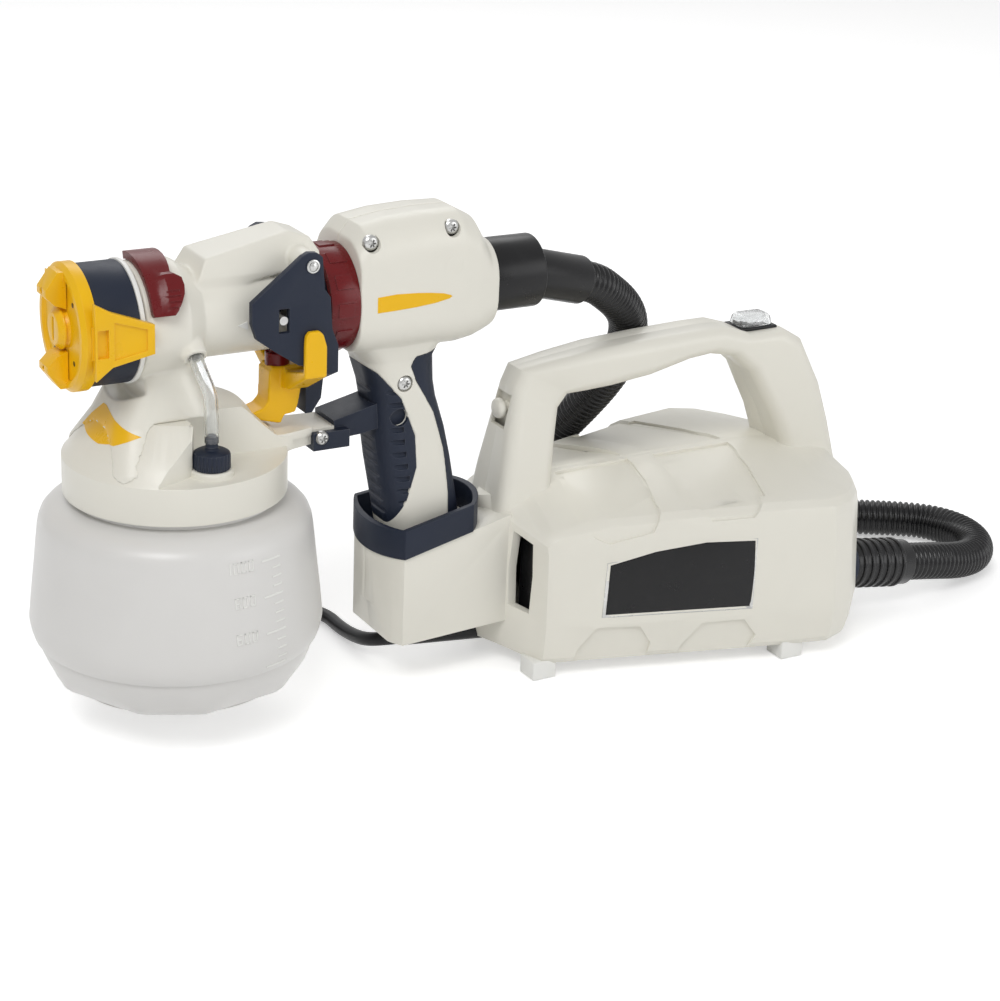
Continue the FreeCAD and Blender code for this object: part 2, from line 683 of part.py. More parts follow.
def rounded_route(points, name, diameter):
    """Straight runs joined by tangent arcs, each as large as its two runs allow."""
    edges = []
    last = points[0]
    least = 1e9
    for before, corner, after in zip(points, points[1:], points[2:]):
        a = corner - before
        b = after - corner
        shorter = min(a.Length, b.Length)
        a.normalize()
        b.normalize()
        turn = math.acos(max(-1.0, min(1.0, a.dot(b))))
        reach = 0.45 * shorter
        radius = reach / math.tan(turn / 2)
        least = min(least, radius)
        start = corner - a * reach
        end = corner + b * reach
        inward = b - a
        inward.normalize()
        centre_far = radius / math.cos(turn / 2)
        bend = corner + inward * (centre_far - radius)
        edges.append(Part.LineSegment(last, start).toShape())
        edges.append(Part.Arc(start, bend, end).toShape())
        last = end
        if name:
            print(f"{name}: run {shorter:.1f} turn {math.degrees(turn):.0f} radius {radius:.1f}")
    edges.append(Part.LineSegment(last, points[-1]).toShape())
    if name:
        print(f"{name}: least radius {least:.1f} mm, {least / diameter:.1f} diameters")
    return Part.Wire(edges)


def round_tube(path, radius):
    first = path.OrderedEdges[0]
    start = first.valueAt(first.FirstParameter)
    way = first.tangentAt(first.FirstParameter)
    if (start - path.OrderedVertexes[0].Point).Length > 1e-6:
        start = first.valueAt(first.LastParameter)
        way = first.tangentAt(first.LastParameter) * -1
    circle = Part.Wire([Part.Circle(start, way, radius).toShape()])
    shell = Part.BRepOffsetAPI.MakePipeShell(path)
    shell.add(circle)
    shell.build()
    shell.makeSolid()
    return shell.shape()


def check_tube(name, solid, path, area):
    print(f"{name}: length {path.Length:.0f} mm, volume {solid.Volume:.0f}, section x length {area * path.Length:.0f}")


# Mains lead

def coil_place(s):
    """A point of the lead's centre line in the coil, s turns from its outer start."""
    middle = COIL_TURNS + 0.25
    radius = COIL_IN_R + COIL_PITCH * abs(s - middle)
    angle = -math.pi / 2 - 2 * math.pi * s
    climb = min(1.0, max(0.0, (s - middle + 0.25) / 0.5))
    rise = COIL_LAYER * climb * climb * (3 - 2 * climb)
    return Vector(COIL_X + radius * math.cos(angle), COIL_Y + radius * math.sin(angle), CABLE_R + rise)


def coil_gap():
    """The least gap of the coil to itself, on points more than half a turn apart."""
    total = 2 * COIL_TURNS + 0.5
    per_turn = 72
    count = int(total * per_turn)
    points = [coil_place(i / per_turn) for i in range(count + 1)]
    least = 1e9
    for i in range(count + 1):
        for j in range(i + per_turn // 2, count + 1):
            least = min(least, (points[i] - points[j]).Length)
    return least - 2 * CABLE_R


def cable_coil():
    total = 2 * COIL_TURNS + 0.5
    start, start_way = coil_place(0), Vector(-1, 0, 0)
    end, end_way = coil_place(total), Vector(1, 0, 0)
    lead = 2 * CABLE_R
    edges = biarc(start - start_way * lead, start_way, coil_place(0.25), coil_way(0.25))
    inner = quarter_turns(lambda s: coil_place(s + 0.25), total - 0.5)
    edges += inner.OrderedEdges
    edges += biarc(coil_place(total - 0.25), coil_way(total - 0.25), end, end_way)
    edges.append(Part.LineSegment(end, end + end_way * lead).toShape())
    path = Part.Wire(edges)
    coil = round_tube(path, CABLE_R)
    check_tube("cable coil", coil, path, math.pi * CABLE_R ** 2)
    print(f"cable coil: least gap to itself {coil_gap():.2f} mm")
    return coil


def coil_way(s):
    way = coil_place(s + 0.002) - coil_place(s - 0.002)
    way.normalize()
    return way


def coil_ends():
    total = 2 * COIL_TURNS + 0.5
    lead = 2 * CABLE_R
    return coil_place(0) + Vector(lead, 0, 0), coil_place(total) + Vector(lead, 0, 0)


def relief_tip():
    return Vector(120.0, 6.5, 12.0)


def relief_root():
    return Vector(BASE_X + 8, 0, 12.0)


def relief_way():
    return (relief_tip() - relief_root()).normalize()


def mains_cable():
    first, _ = coil_ends()
    tip = relief_tip()
    route = [
        tip, tip + relief_way() * 7.5, Vector(106.5, 16, 9.2), Vector(105.8, 29, 6.0), Vector(105.8, 45, 4.0),
        first + Vector(39.8, -22.8, 0.0), first + Vector(31.2, -8.4, 0), first + Vector(16.7, 0, 0), first,
    ]
    path = rounded_route(route, "mains cable", 2 * CABLE_R)
    tube = round_tube(path, CABLE_R)
    check_tube("mains cable", tube, path, math.pi * CABLE_R ** 2)
    return tube


def plug_start():
    _, last = coil_ends()
    return last + Vector(22.0, TAIL_TURN * 3.078, PLUG_AXIS_Z - last.z)


def plug_way():
    return Vector(-1, 0, 0)


def cable_tail():
    """The lead's end: it leaves the coil and turns back, by half a turn in even steps."""
    _, last = coil_ends()
    corner = last + Vector(39.0, 0, 0)
    route = [last, corner]
    for index, height in enumerate((9.5, 8.0, 9.0, 11.0)):
        angle = math.radians(36 * (index + 1))
        corner = corner + Vector(TAIL_TURN * math.cos(angle), TAIL_TURN * math.sin(angle), 0)
        route.append(Vector(corner.x, corner.y, height))
    route[-1].z = PLUG_AXIS_Z
    route.append(plug_start())
    path = rounded_route(route, "cable tail", 2 * CABLE_R)
    tube = round_tube(path, CABLE_R)
    check_tube("cable tail", tube, path, math.pi * CABLE_R ** 2)
    return tube


def strain_relief():
    length = (relief_tip() - relief_root()).Length
    return Part.makeCone(5.6, 4.3, length, relief_root(), relief_way())


def plug():
    """Two-pin plug body lying on the floor."""
    start = plug_start()
    way = plug_way()
    across = AXIS_UP.cross(way)
    wires = []
    for far, half_w, half_h in ((0, 5.5, 5.0), (10, 7.5, 7.0), (24, 11.0, 9.0), (PLUG_L, 17.5, 12.8)):
        wires.append(rounded(start + way * far, across, AXIS_UP, half_w, half_h, 4.0))
    return ruled(wires)


def plug_pins():
    start = plug_start() + plug_way() * PLUG_L
    across = AXIS_UP.cross(plug_way())
    pins = []
    for sign in (1, -1):
        pins.append(Part.makeCylinder(2.4, 19.0, start + across * (sign * 9.5), plug_way()))
    return Part.makeCompound(pins)


# Gun shell and its grips

def handle_axis_x(z):
    return HANDLE_X + (HANDLE_X_Z - z) * HANDLE_RAKE


def handle_rows():
    deep, wide = HANDLE_DEEP, HANDLE_WIDE
    z0 = HOLDER_SEAT_Z
    return [
        (z0, deep, wide), (z0 + 61, deep, wide), (z0 + 76, deep - 0.6, wide - 0.2), (z0 + 92, deep - 2.6, wide - 0.4),
        (z0 + 100, deep - 2.6, wide - 0.4), (z0 + 113, deep - 1.1, wide + 0.3), (z0 + 120, deep + 3.2, wide + 1.8),
        (z0 + 132, deep + 6.4, wide + 3.0),
    ]


def handle_solid(inset, bottom, top):
    """The gun's handle, raked, with its section set in by a margin."""
    wires = []
    for z, deep, wide in handle_rows():
        z = min(max(z, bottom), top)
        centre = Vector(handle_axis_x(z), 0, z)
        wires.append(rounded(centre, AXIS_X, AXIS_Y, deep - inset, wide - inset, HANDLE_ROUND - inset * 0.6))
    return ruled(wires)


def shell_body(inset):
    """The upper body of the gun, behind the coupling ring."""
    z = AXIS_Z
    rows = [
        (SHELL_X + inset, z - 24.1, z + 28.9, 24.3), (SHELL_X + 5, z - 25.1, z + 34.9, 24.3),
        (SHELL_X + 20, z - 25.6, z + 37.4, 24.0), (SHELL_X + 38, z - 25.6, z + 38.4, 23.5),
        (SHELL_X + 54, z - 26.1, z + 38.2, 22.5), (SHELL_X + 63, z - 25.1, z + 33.4, 21.5),
        (SHELL_X + 70, z - 23.1, z + 22.4, 20.0), (SHELL_X + 74 - inset, z - 21.6, z + 20.4, 19.0),
    ]
    wires = []
    for x, z0, z1, half_y in rows:
        centre = Vector(x, 0, (z0 + z1) / 2)
        half_z = (z1 - z0) / 2 - inset
        wires.append(rounded(centre, AXIS_Y, AXIS_UP, half_y - inset, half_z, SHELL_ROUND + 5 - inset))
    return ruled(wires)


def grip_sleeve():
    outer = handle_solid(0, HOLDER_SEAT_Z, HOLDER_SEAT_Z + 132)
    core = handle_solid(GRIP_T, HOLDER_SEAT_Z, HOLDER_SEAT_Z + 132)
    return outer.cut(core)


def front_grip():
    z = HOLDER_SEAT_Z
    outline = [
        (55, z + 116), (82.6, z + 115.8), (94.5, z + 107.9), (106.1, z + 94.6), (113.6, z + 75.6),
        (114.7, z + 59.7), (110.0, z + 43.3), (104.0, z + 31.0), (96.0, z + 24.0), (55, z + 24.0),
    ]
    region = plate_xz(outline, -40, 40)
    grip = grip_sleeve().common(region).cut(shell_body(0))
    x, z = shell_screw_places()[2]
    return keep_solid(grip.cut(disc(x, -40, z, AXIS_Y, SCREW_HEAD_R + 0.3, 40)))


def back_strip():
    z = HOLDER_SEAT_Z
    outline = [
        (160, z + 117), (128, z + 117), (112.8, z + 114.5), (110.7, z + 110.0), (113.8, z + 102.4),
        (123.9, z + 85.5), (129.7, z + 66.5), (132.3, z + 47.7), (133.0, z + 28.0), (160, z + 28.0),
    ]
    region = plate_xz(outline, -40, 40)
    return keep_solid(grip_sleeve().common(region).cut(shell_body(0)))


def shell_screw_places():
    z = AXIS_Z
    return [(SHELL_X + 7.5, z + 10.4), (SHELL_X + 47.0, z + 14.9), (SHELL_X + 25.5, z - 58.1)]


def shell_wall_y(z):
    return 21.5 if z > AXIS_Z - 30 else HANDLE_WIDE - 1.5


def gun_shell():
    outer = shell_body(0).fuse(handle_solid(0, HOLDER_SEAT_Z, HOLDER_SEAT_Z + 132))
    inset = GRIP_T + SHELL_WALL
    inner = shell_body(SHELL_WALL).fuse(handle_solid(inset, HOLDER_SEAT_Z + 3, HOLDER_SEAT_Z + 132))
    shell = outer.cut(inner)
    bosses = []
    for x, z in shell_screw_places():
        boss = disc(x, -30, z, AXIS_Y, SCREW_HEAD_R + 1.2, 60)
        bosses.append(boss.common(outer))
    shell = shell.fuse(bosses)
    for x, z in shell_screw_places():
        wall = shell_wall_y(z)
        shell = shell.cut(disc(x, -40, z, AXIS_Y, SCREW_HEAD_R + 0.3, 40 - wall + 3.0))
        shell = shell.cut(disc(x, -40, z, AXIS_Y, 1.5, 52))
    shell = shell.cut(front_grip()).cut(back_strip())
    shell = shell.cut(disc(SHELL_X - 5, 0, AXIS_Z, AXIS_X, BARREL_R + SEAT_FIT, 12))
    shell = shell.cut(disc(SHELL_X + 60, 0, SOCKET_Z, AXIS_X, SOCKET_R + SEAT_FIT, 40))
    return shell


def gun_screws():
    """The three shell screws and the screw of the guard's clip."""
    screws = [guard_screw()]
    for x, z in shell_screw_places():
        wall = shell_wall_y(z) - 3.0
        head = disc(x, -wall - 2.4, z, AXIS_Y, SCREW_HEAD_R, 2.4)
        head = head.cut(box(x - 2.6, x + 2.6, -wall - 3, -wall - 1.2, z - 0.5, z + 0.5))
        head = head.cut(box(x - 0.5, x + 0.5, -wall - 3, -wall - 1.2, z - 2.6, z + 2.6))
        screws.append(fused([head, disc(x, -wall, z, AXIS_Y, 1.5 - SEAT_FIT, wall + 11.5)]))
    return Part.makeCompound(screws)


def coupling_neck():
    """Stub of the gun shell that the coupling ring turns on."""
    z = AXIS_Z
    stub = pipe(RING_X - 0.4, 0, z, AXIS_X, BARREL_R - 0.1, 14.0, SHELL_X + 3 - RING_X)
    flange = disc(SHELL_X + SHELL_WALL + 0.1, 0, z, AXIS_X, BARREL_R + 0.4, 2.0)
    flange = flange.cut(disc(SHELL_X, 0, z - AIR_TUBE_DROP, AXIS_X, AIR_TUBE_R - 1.5, 9))
    x, height = shell_screw_places()[0]
    neck = fused([stub, flange])
    return keep_solid(neck.cut(disc(x, -40, height, AXIS_Y, SCREW_HEAD_R + 1.5, 80)))


def coupling_ring():
    z = AXIS_Z
    ring = pipe(RING_X, 0, z, AXIS_X, RING_R, BARREL_R + SLIDE_FIT, RING_W)
    pads = []
    pad = box(RING_X + 3.2, RING_X + RING_W - 3.2, -3.2, 3.2, z + RING_R - 2.0, z + RING_R + 0.45)
    for index in range(12):
        turned = pad.copy()
        turned.rotate(Vector(0, 0, z), AXIS_X, index * 30.0)
        pads.append(turned)
    return fused([ring] + pads)


def gun_air_tube():
    z = AXIS_Z
    x0 = SHELL_X + SHELL_WALL + 2.1
    return pipe(x0, 0, z - AIR_TUBE_DROP, AXIS_X, AIR_TUBE_R, AIR_TUBE_R - 1.5, SHELL_X + 69.0 - x0)


def guard_arm():
    """Navy arm from the grip to the lid's arm, with a clip below for the screw."""
    z = LID_TOP_Z
    x0 = ARM_END_X + 0.05
    outline = [(x0, z - 4.5), (x0, z + 4.8), (92.0, z + 9.0), (104.0, z + 12.0), (104.0, z - 1.0), (88, z - 3.6)]
    arm = plate_xz(outline, -10.0, 10.0)
    arm = arm.cut(handle_solid(0, HOLDER_SEAT_Z, HOLDER_SEAT_Z + 132))
    clip = box(GUARD_SCREW_X - 4.2, x0 + 6, -14.6, -11.7, z - 7.0, z + 1.4)
    under = box(GUARD_SCREW_X - 4.2, x0 + 6, -14.6, 8.0, z - 7.0, z - 4.6)
    link = box(x0, x0 + 6, -14.6, -9.5, z - 7.0, z + 1.4)
    arm = fused([keep_solid(arm), clip, under, link])
    arm = arm.cut(disc(GUARD_SCREW_X, -20, z - 2.4, AXIS_Y, 1.4 + SEAT_FIT, 9))
    return keep_solid(arm)


def guard_screw():
    z = LID_TOP_Z - 2.4
    head = disc(GUARD_SCREW_X, -16.4, z, AXIS_Y, 2.7, 1.8)
    return fused([head, disc(GUARD_SCREW_X, -14.6, z, AXIS_Y, 1.4, 13.0)])


def elbow_end():
    return Vector(212.0, 5.0, SOCKET_Z - 9.8)


def hose_socket():
    z = SOCKET_Z
    x0 = SHELL_X + 69.0
    body = disc(x0, 0, z, AXIS_X, SOCKET_R, SOCKET_X - x0)
    bore = disc(x0 - 1, 0, z, AXIS_X, ELBOW_R + SEAT_FIT, 60)
    flare = cone(SOCKET_X - 10, 0, z, AXIS_X, ELBOW_R, ELBOW_R + 3.4, 10.1)
    return body.cut(bore).cut(flare)


def hose_elbow():
    knee = Vector(SOCKET_X - 5, 0, SOCKET_Z)
    axis = elbow_end() - knee
    stub = disc(SHELL_X + 69.0, 0, SOCKET_Z, AXIS_X, ELBOW_R, knee.x - SHELL_X - 69.0)
    ball = Part.makeSphere(ELBOW_R, knee)
    arm = Part.makeCylinder(ELBOW_R, axis.Length, knee, axis)
    ways = [disc(SHELL_X + 60, 0, SOCKET_Z, AXIS_X, 8.0, knee.x - SHELL_X - 60)]
    ways.append(Part.makeSphere(8.0, knee))
    ways.append(Part.makeCylinder(8.0, axis.Length + 5, knee, axis))
    elbow = fused([stub, ball, arm])
    for way in ways:
        elbow = elbow.cut(way)
    return keep_solid(elbow)


# Air hose

def connector_way():
    return Vector(math.cos(CONNECTOR_DROP), 0, -math.sin(CONNECTOR_DROP))


def connector_end():
    return Vector(PORT_X, PORT_Y, PORT_Z) + connector_way() * ((CONNECTOR_END_X - PORT_X) / math.cos(CONNECTOR_DROP))


def hose_route():
    start = elbow_end()
    way = start - Vector(SOCKET_X - 5, 0, SOCKET_Z)
    way.normalize()
    floor_z = HOSE_R + 0.6
    end = connector_end()
    tail = end + connector_way() * 22
    down = [
        (233, 11.5, 175), (245, 17, 166), (253.5, 22.5, 156), (258, 29, 144), (259.5, 38, 129), (257.5, 50, 112),
        (252.5, 63, 95), (247, 77, 78), (243.5, 90.5, 61), (244, 103.5, 45), (248.5, 116, 31), (257.5, 127, 20),
        (272, 135, 13),
    ]
    flat = [
        (292, 139.5), (315, 138), (340, 128), (364, 109), (384, 86), (405, 64), (430, 46.5), (451.9, 33.9),
        (465.8, 22.2), (472, 5.1), (468.9, -12.9), (457.2, -26.8), (440, -33.1),
    ]
    points = [start, start + way * 10] + [Vector(*p) for p in down]
    points += [Vector(x, y, floor_z) for x, y in flat[:-1]]
    points += [Vector(flat[-1][0], flat[-1][1], floor_z + 2.0), tail, end]
    return points


def along_path(path, pitch):
    """Points, directions and steady cross axes at equal steps along a path."""
    total = path.Length
    count = int(round(total / pitch))
    edges = path.OrderedEdges
    places = []
    position = 0.0
    last_point = edges[0].Vertexes[0].Point
    joint = path.OrderedVertexes[0].Point
    across = AXIS_Y
    starts = []
    for edge in edges:
        starts.append((position, edge, joint))
        first = edge.valueAt(edge.FirstParameter)
        joint = edge.valueAt(edge.LastParameter) if (first - joint).Length < 1e-5 else first
        position += edge.Length
    index = 0
    for step in range(count * 4 + 1):
        s = total * step / (count * 4)
        while index + 1 < len(starts) and starts[index + 1][0] < s - 1e-9:
            index += 1
        begin, edge, origin = starts[index]
        forward = (edge.valueAt(edge.FirstParameter) - origin).Length < 1e-5
        reach = min(edge.Length, max(0.0, s - begin))
        parameter = edge.getParameterByLength(reach if forward else edge.Length - reach)
        point = edge.valueAt(parameter)
        way = edge.tangentAt(parameter) * (1 if forward else -1)
        across = across - way * across.dot(way)
        across.normalize()
        places.append((point, way, Vector(across)))
    return places


def ring_wire(point, way, across, radius):
    side_way = way.cross(across)
    turn = FreeCAD.Rotation(across, side_way, way, "ZXY")
    circle = Part.Wire([Part.Circle(Vector(0, 0, 0), AXIS_UP, radius).toShape()])
    circle.Placement = FreeCAD.Placement(point, turn)
    return circle


def air_hose():
    """Ribbed hose: four circles for each rib, with a plain bore and plain ends."""
    path = rounded_route(hose_route(), "air hose", 2 * HOSE_R)
    places = along_path(path, HOSE_PITCH)
    wires = []
    plain = int(2 * HOSE_R / HOSE_PITCH) * 4
    for number, (point, way, across) in enumerate(places):
        ribbed = plain < number < len(places) - plain
        high = number % 4 in (1, 2)
        radius = HOSE_R if high and ribbed else HOSE_R - HOSE_RIB
        wires.append(ring_wire(point, way, across, radius))
    skin = ruled(wires)
    bore = round_tube(path, HOSE_BORE_R)
    hose = keep_solid(skin.cut(bore))
    area = math.pi * ((HOSE_R - HOSE_RIB / 2) ** 2 - HOSE_BORE_R ** 2)
    check_tube("air hose", hose, path, area)
    return hose


def hose_connector():
    """Ribbed grip on the hose's end, plugged in the port of the base."""
    way = connector_way()
    start = Vector(PORT_X, PORT_Y, PORT_Z)
    end = connector_end()
    length = (end - start).Length
    body = Part.makeCylinder(CONNECTOR_R, length - 6, start + way * 6, way)
    plug_part = Part.makeCylinder(HOSE_R - 1, 18, start - way * 12, way)
    ridges = [Part.makeCylinder(CONNECTOR_R + 1.1, 2.2, start + way * (9 + 5.2 * i), way) for i in range(6)]
    bore = Part.makeCylinder(HOSE_BORE_R, length + 40, start - way * 20, way)
    return keep_solid(fused([body, plug_part] + ridges).cut(bore))


# Base housing

def base_rows():
    """Cross sections of the base: place, half widths at foot, middle and rim, rim, ridge, foot heights."""
    return [
        (0.6, 3, 3.5, 2, 80, 84, 10), (8, 20, 22, 20.5, 79, 86, 9), (16.3, 43, 45.3, 44, 72, 88, 8),
        (22, 45.5, 47.5, 46, 76, 90, 8), (48, 52, 54, 51.5, 81, 91, 8), (120, 71, 73, 69.5, 83, 91, 8),
        (161, 80.5, 83.6, 78, 82.5, 91, 8), (174, 75.5, 79.5, 73, 82, 90.5, 8), (186, 64, 67.5, 62, 81, 90, 8),
        (196, 47, 51, 45.5, 80, 88, 9), (203, 28, 31.5, 26, 77, 85, 12), (208, 6, 9, 5, 68, 74, 22),
    ]


def base_section(x, foot_w, mid_w, rim_w, rim_z, ridge_z, foot_z):
    half = [
        (foot_w - 1.5, foot_z), (foot_w + 0.5, foot_z + 3), (mid_w, foot_z + 20), (rim_w + 0.8, rim_z - 7),
        (rim_w - 0.6, rim_z - 2.5), (max(rim_w - 4.5, 0.75 * rim_w), rim_z + 0.4), (min(9.0, 0.6 * rim_w), ridge_z),
    ]
    points = half + [(-y, z) for y, z in reversed(half)]
    return closed([Vector(BASE_X + x, y, z) for y, z in points])


def base_outside():
    return ruled([base_section(*row) for row in base_rows()])


def base_inside():
    t = BASE_WALL
    rows = base_rows()
    inner = []
    for x, foot_w, mid_w, rim_w, rim_z, ridge_z, foot_z in rows[1:-1]:
        inner.append([x, foot_w - t, mid_w - t, rim_w - t, rim_z - t, ridge_z - t, foot_z + t])
    for row, push in ((inner[0], t), (inner[-1], -t)):
        row[0] += push
        for column in (1, 2, 3):
            row[column] -= t
    inner[1][0] += t
    return ruled([base_section(*row) for row in inner])


def carry_rows():
    """Carry handle: outer point, inner point and half width at each section."""
    return [
        (4, 78, 33, 78, 18), (7, 97, 35.5, 92, 16), (11, 120, 38.5, 112, 12.5), (14.6, 139, 41, 125, 10),
        (18.5, 147.5, 46, 131.5, 10), (38, 150.5, 54, 132.2, 12), (62, 153.3, 69, 133.5, 13.5),
        (92, 155, 91, 136.2, 14), (120, 156, 113, 141.5, 14), (134, 156, 126, 142.8, 14),
        (150, 151, 139, 140.5, 14.5), (170, 151.4, 151, 130.7, 15.5), (180, 145.5, 158, 118, 16.5),
        (193, 121, 165.5, 105, 17.5), (200, 100, 171, 92, 18.5), (206, 78, 175, 80, 19.5),
    ]


def carry_handle(inset):
    wires = []
    for x_out, z_out, x_in, z_in, half_w in carry_rows():
        outer = Vector(BASE_X + x_out, 0, z_out)
        inner = Vector(BASE_X + x_in, 0, z_in)
        along = outer - inner
        half = along.Length / 2 - inset
        along.normalize()
        wires.append(rounded((outer + inner) * 0.5, along, AXIS_Y, half, half_w - inset, 6.5 - inset))
    return ruled(wires)


def below_plane(x0, z_at_x0, slope, base_z):
    """A wide slab from a height up to a tilted plane."""
    x1, x2 = x0 - 60, x0 + 120
    outline = [(x1, base_z), (x2, base_z), (x2, z_at_x0 + slope * 120), (x1, z_at_x0 - slope * 60)]
    return plate_xz(outline, -80, 80)


def holder_plan(grow):
    """Plan of the holder arm in front of the base, with a bulging front."""
    front = HOLDER_FRONT_X - grow
    side_y = HOLDER_SIDE_Y + grow
    corner = Vector(HOLDER_FRONT_X + 7.5, side_y, 0)
    corner_near = Vector(HOLDER_FRONT_X + 7.5, -side_y, 0)
    rear = Vector(BASE_X + 9, side_y - 6, 0)
    rear_near = Vector(BASE_X + 9, -side_y + 6, 0)
    edges = [
        Part.Arc(corner_near, Vector(front, 0, 0), corner).toShape(), Part.LineSegment(corner, rear).toShape(),
        Part.LineSegment(rear, rear_near).toShape(), Part.LineSegment(rear_near, corner_near).toShape(),
    ]
    return Part.Face(Part.Wire(edges))


def holder_cavity():
    return handle_solid(-HOLDER_FIT, HOLDER_SEAT_Z, HOLDER_SEAT_Z + 132)


def holder_arm():
    block = holder_plan(0).extrude(Vector(0, 0, 90))
    block.translate(Vector(0, 0, HOLDER_BOTTOM_Z))
    block = block.common(below_plane(HOLDER_FRONT_X + 7.5, HOLDER_TOP_Z, 0.18, 0))
    toe = plate_xz([(80, 15), (HOLDER_FRONT_X + 5, 15), (HOLDER_FRONT_X + 1, 40), (80, 40)], -60, 60)
    return block.cut(toe)


def holder_hollow():
    """The empty space under the seat of the holder."""
    wall = HOLDER_WALL
    hollow = holder_plan(-wall - 3).extrude(Vector(0, 0, HOLDER_SEAT_Z - HOLDER_BOTTOM_Z - 2 * wall))
    hollow.translate(Vector(0, 0, HOLDER_BOTTOM_Z + wall))
    return hollow


def collar_plan(grow):
    """Plan of the collar round the gun's handle: the arm's front and sides, with a round back."""
    side_y = HOLDER_SIDE_Y + grow
    corner_x = HOLDER_FRONT_X + 7.5
    back_x = BASE_X - 14
    back_y = side_y - 3.7
    ends = [Vector(corner_x, -side_y, 0), Vector(corner_x, side_y, 0)]
    ends += [Vector(back_x, back_y, 0), Vector(back_x, -back_y, 0)]
    edges = [
        Part.Arc(ends[0], Vector(HOLDER_FRONT_X - grow, 0, 0), ends[1]).toShape(),
        Part.LineSegment(ends[1], ends[2]).toShape(),
        Part.Arc(ends[2], Vector(BASE_X - 4 + grow, 0, 0), ends[3]).toShape(),
        Part.LineSegment(ends[3], ends[0]).toShape(),
    ]
    return Part.Face(Part.Wire(edges))


def holder_ring():
    """Dark collar on the holder, hollow round the gun's handle."""
    block = collar_plan(HOLDER_RING_T).extrude(Vector(0, 0, 90))
    block.translate(Vector(0, 0, HOLDER_BOTTOM_Z))
    block = block.common(below_plane(HOLDER_FRONT_X + 7.5, HOLDER_TOP_Z + 14.5, 0.163, 0))
    block = block.cut(below_plane(HOLDER_FRONT_X + 7.5, HOLDER_TOP_Z, 0.18, -10))
    inside = collar_plan(-COLLAR_WALL).extrude(Vector(0, 0, 90))
    inside.translate(Vector(0, 0, HOLDER_TOP_Z + 3.0))
    return keep_solid(block.cut(inside).cut(holder_cavity()))


def side_skin(outline, depth, sign):
    """A thin layer of the base's side wall within an outline."""
    outer = base_outside()
    moved = outer.copy()
    moved.translate(Vector(0, -sign * depth, 0))
    y0, y1 = (20, 95) if sign > 0 else (-95, -20)
    return outer.cut(moved).common(plate_xz(outline, y0, y1))


def name_plate_outline():
    return [(201, 32.8), (273.5, 32.1), (275, 50), (274.6, 66.2), (250, 67.0), (225, 64.0), (202.6, 58.5)]


def name_plate():
    """Bare dark plate let in the near side."""
    return keep_solid(side_skin(name_plate_outline(), 1.0, -1))


def top_panels():
    """Recessed panels on the shoulders of the base, between raised bands."""
    outer = base_outside()
    moved = outer.copy()
    moved.translate(Vector(0, 0, -1.4))
    skin = outer.cut(moved)
    first = [(198, 4), (240, 3), (236, 26), (229, 50), (190, 42), (192, 25)]
    second = [(256, 3), (301, 3), (296, 30), (286, 60), (244, 56), (252, 28)]
    panels = []
    for outline in (first, second):
        for sign in (1, -1):
            panels.append(skin.common(plate_xy([(x, sign * y) for x, y in outline], 70, 95)))
    return panels


def air_inlets():
    """A tall opening on each side of the arm, where the blower draws its air."""
    inlets = []
    outline = [(22.0, 33.0), (34.6, 32.0), (35.8, 52.0), (35.2, 68.5), (23.4, 72.0), (21.4, 52.0)]
    for sign in (1, -1):
        inlets.append(plate_yz([(sign * y, z) for y, z in outline], BASE_X, BASE_X + 30))
    return inlets


def foot_places():
    return [(BASE_X + 11, 31.0), (BASE_X + 11, -44.0), (BASE_X + 137, 62.0), (BASE_X + 137, -75.0)]


def feet():
    return Part.makeCompound([box(x, x + FOOT_W, y, y + FOOT_W, 0, FOOT_H + 1.6) for x, y in foot_places()])


def filter_opening():
    return box(FILTER_X0, FILTER_X0 + FILTER_L, -FILTER_HALF_W, FILTER_HALF_W, 0, BASE_FLOOR_Z + BASE_WALL + 0.5)


def filter_cover():
    gap = SLIDE_FIT
    z0 = BASE_FLOOR_Z + 0.2
    plate = box(FILTER_X0 + gap, FILTER_X0 + FILTER_L - gap, gap - FILTER_HALF_W, FILTER_HALF_W - gap, z0, z0 + 2.2)
    count = 8
    step = (FILTER_L - 8) / count
    for index in range(count):
        x = FILTER_X0 + 6 + index * step
        plate = plate.cut(box(x, x + step / 2, 5 - FILTER_HALF_W, FILTER_HALF_W - 5, 0, 20))
    return plate


def filter_foam():
    z0 = BASE_FLOOR_Z + 2.4
    return box(FILTER_X0 + 0.5, FILTER_X0 + FILTER_L - 0.5, 0.5 - FILTER_HALF_W, FILTER_HALF_W - 0.5, z0, z0 + 8.0)


def housing_screw_places():
    return [(BASE_X + 34, 20.0), (BASE_X + 34, 74.0), (BASE_X + 160, 18.0), (BASE_X + 158, 76.0)]


def screw_depth(x):
    return 0.264 * x - 14.0


def housing_screws():
    screws = []
    for x, z in housing_screw_places():
        y = screw_depth(x)
        screws.append(fused([disc(x, y, z, AXIS_Y, 3.0, 2.4), disc(x, -12, z, AXIS_Y, 1.5 - SEAT_FIT, y + 12)]))
    return Part.makeCompound(screws)


def switch_pocket():
    x1 = SWITCH_X + SWITCH_L
    z = SWITCH_Z
    sill = box(SWITCH_X, x1, -SWITCH_HALF_W, SWITCH_HALF_W, z, z + 10)
    hole = box(SWITCH_X + 1.5, x1 - 1.5, 1.2 - SWITCH_HALF_W, SWITCH_HALF_W - 1.2, z - 9, z + 1)
    return sill.fuse(hole)


def peg_recess():
    return box(BASE_X - 5, PEG_X + 3.2, -6.5, 6.5, PEG_Z - 9, PEG_Z + 8)


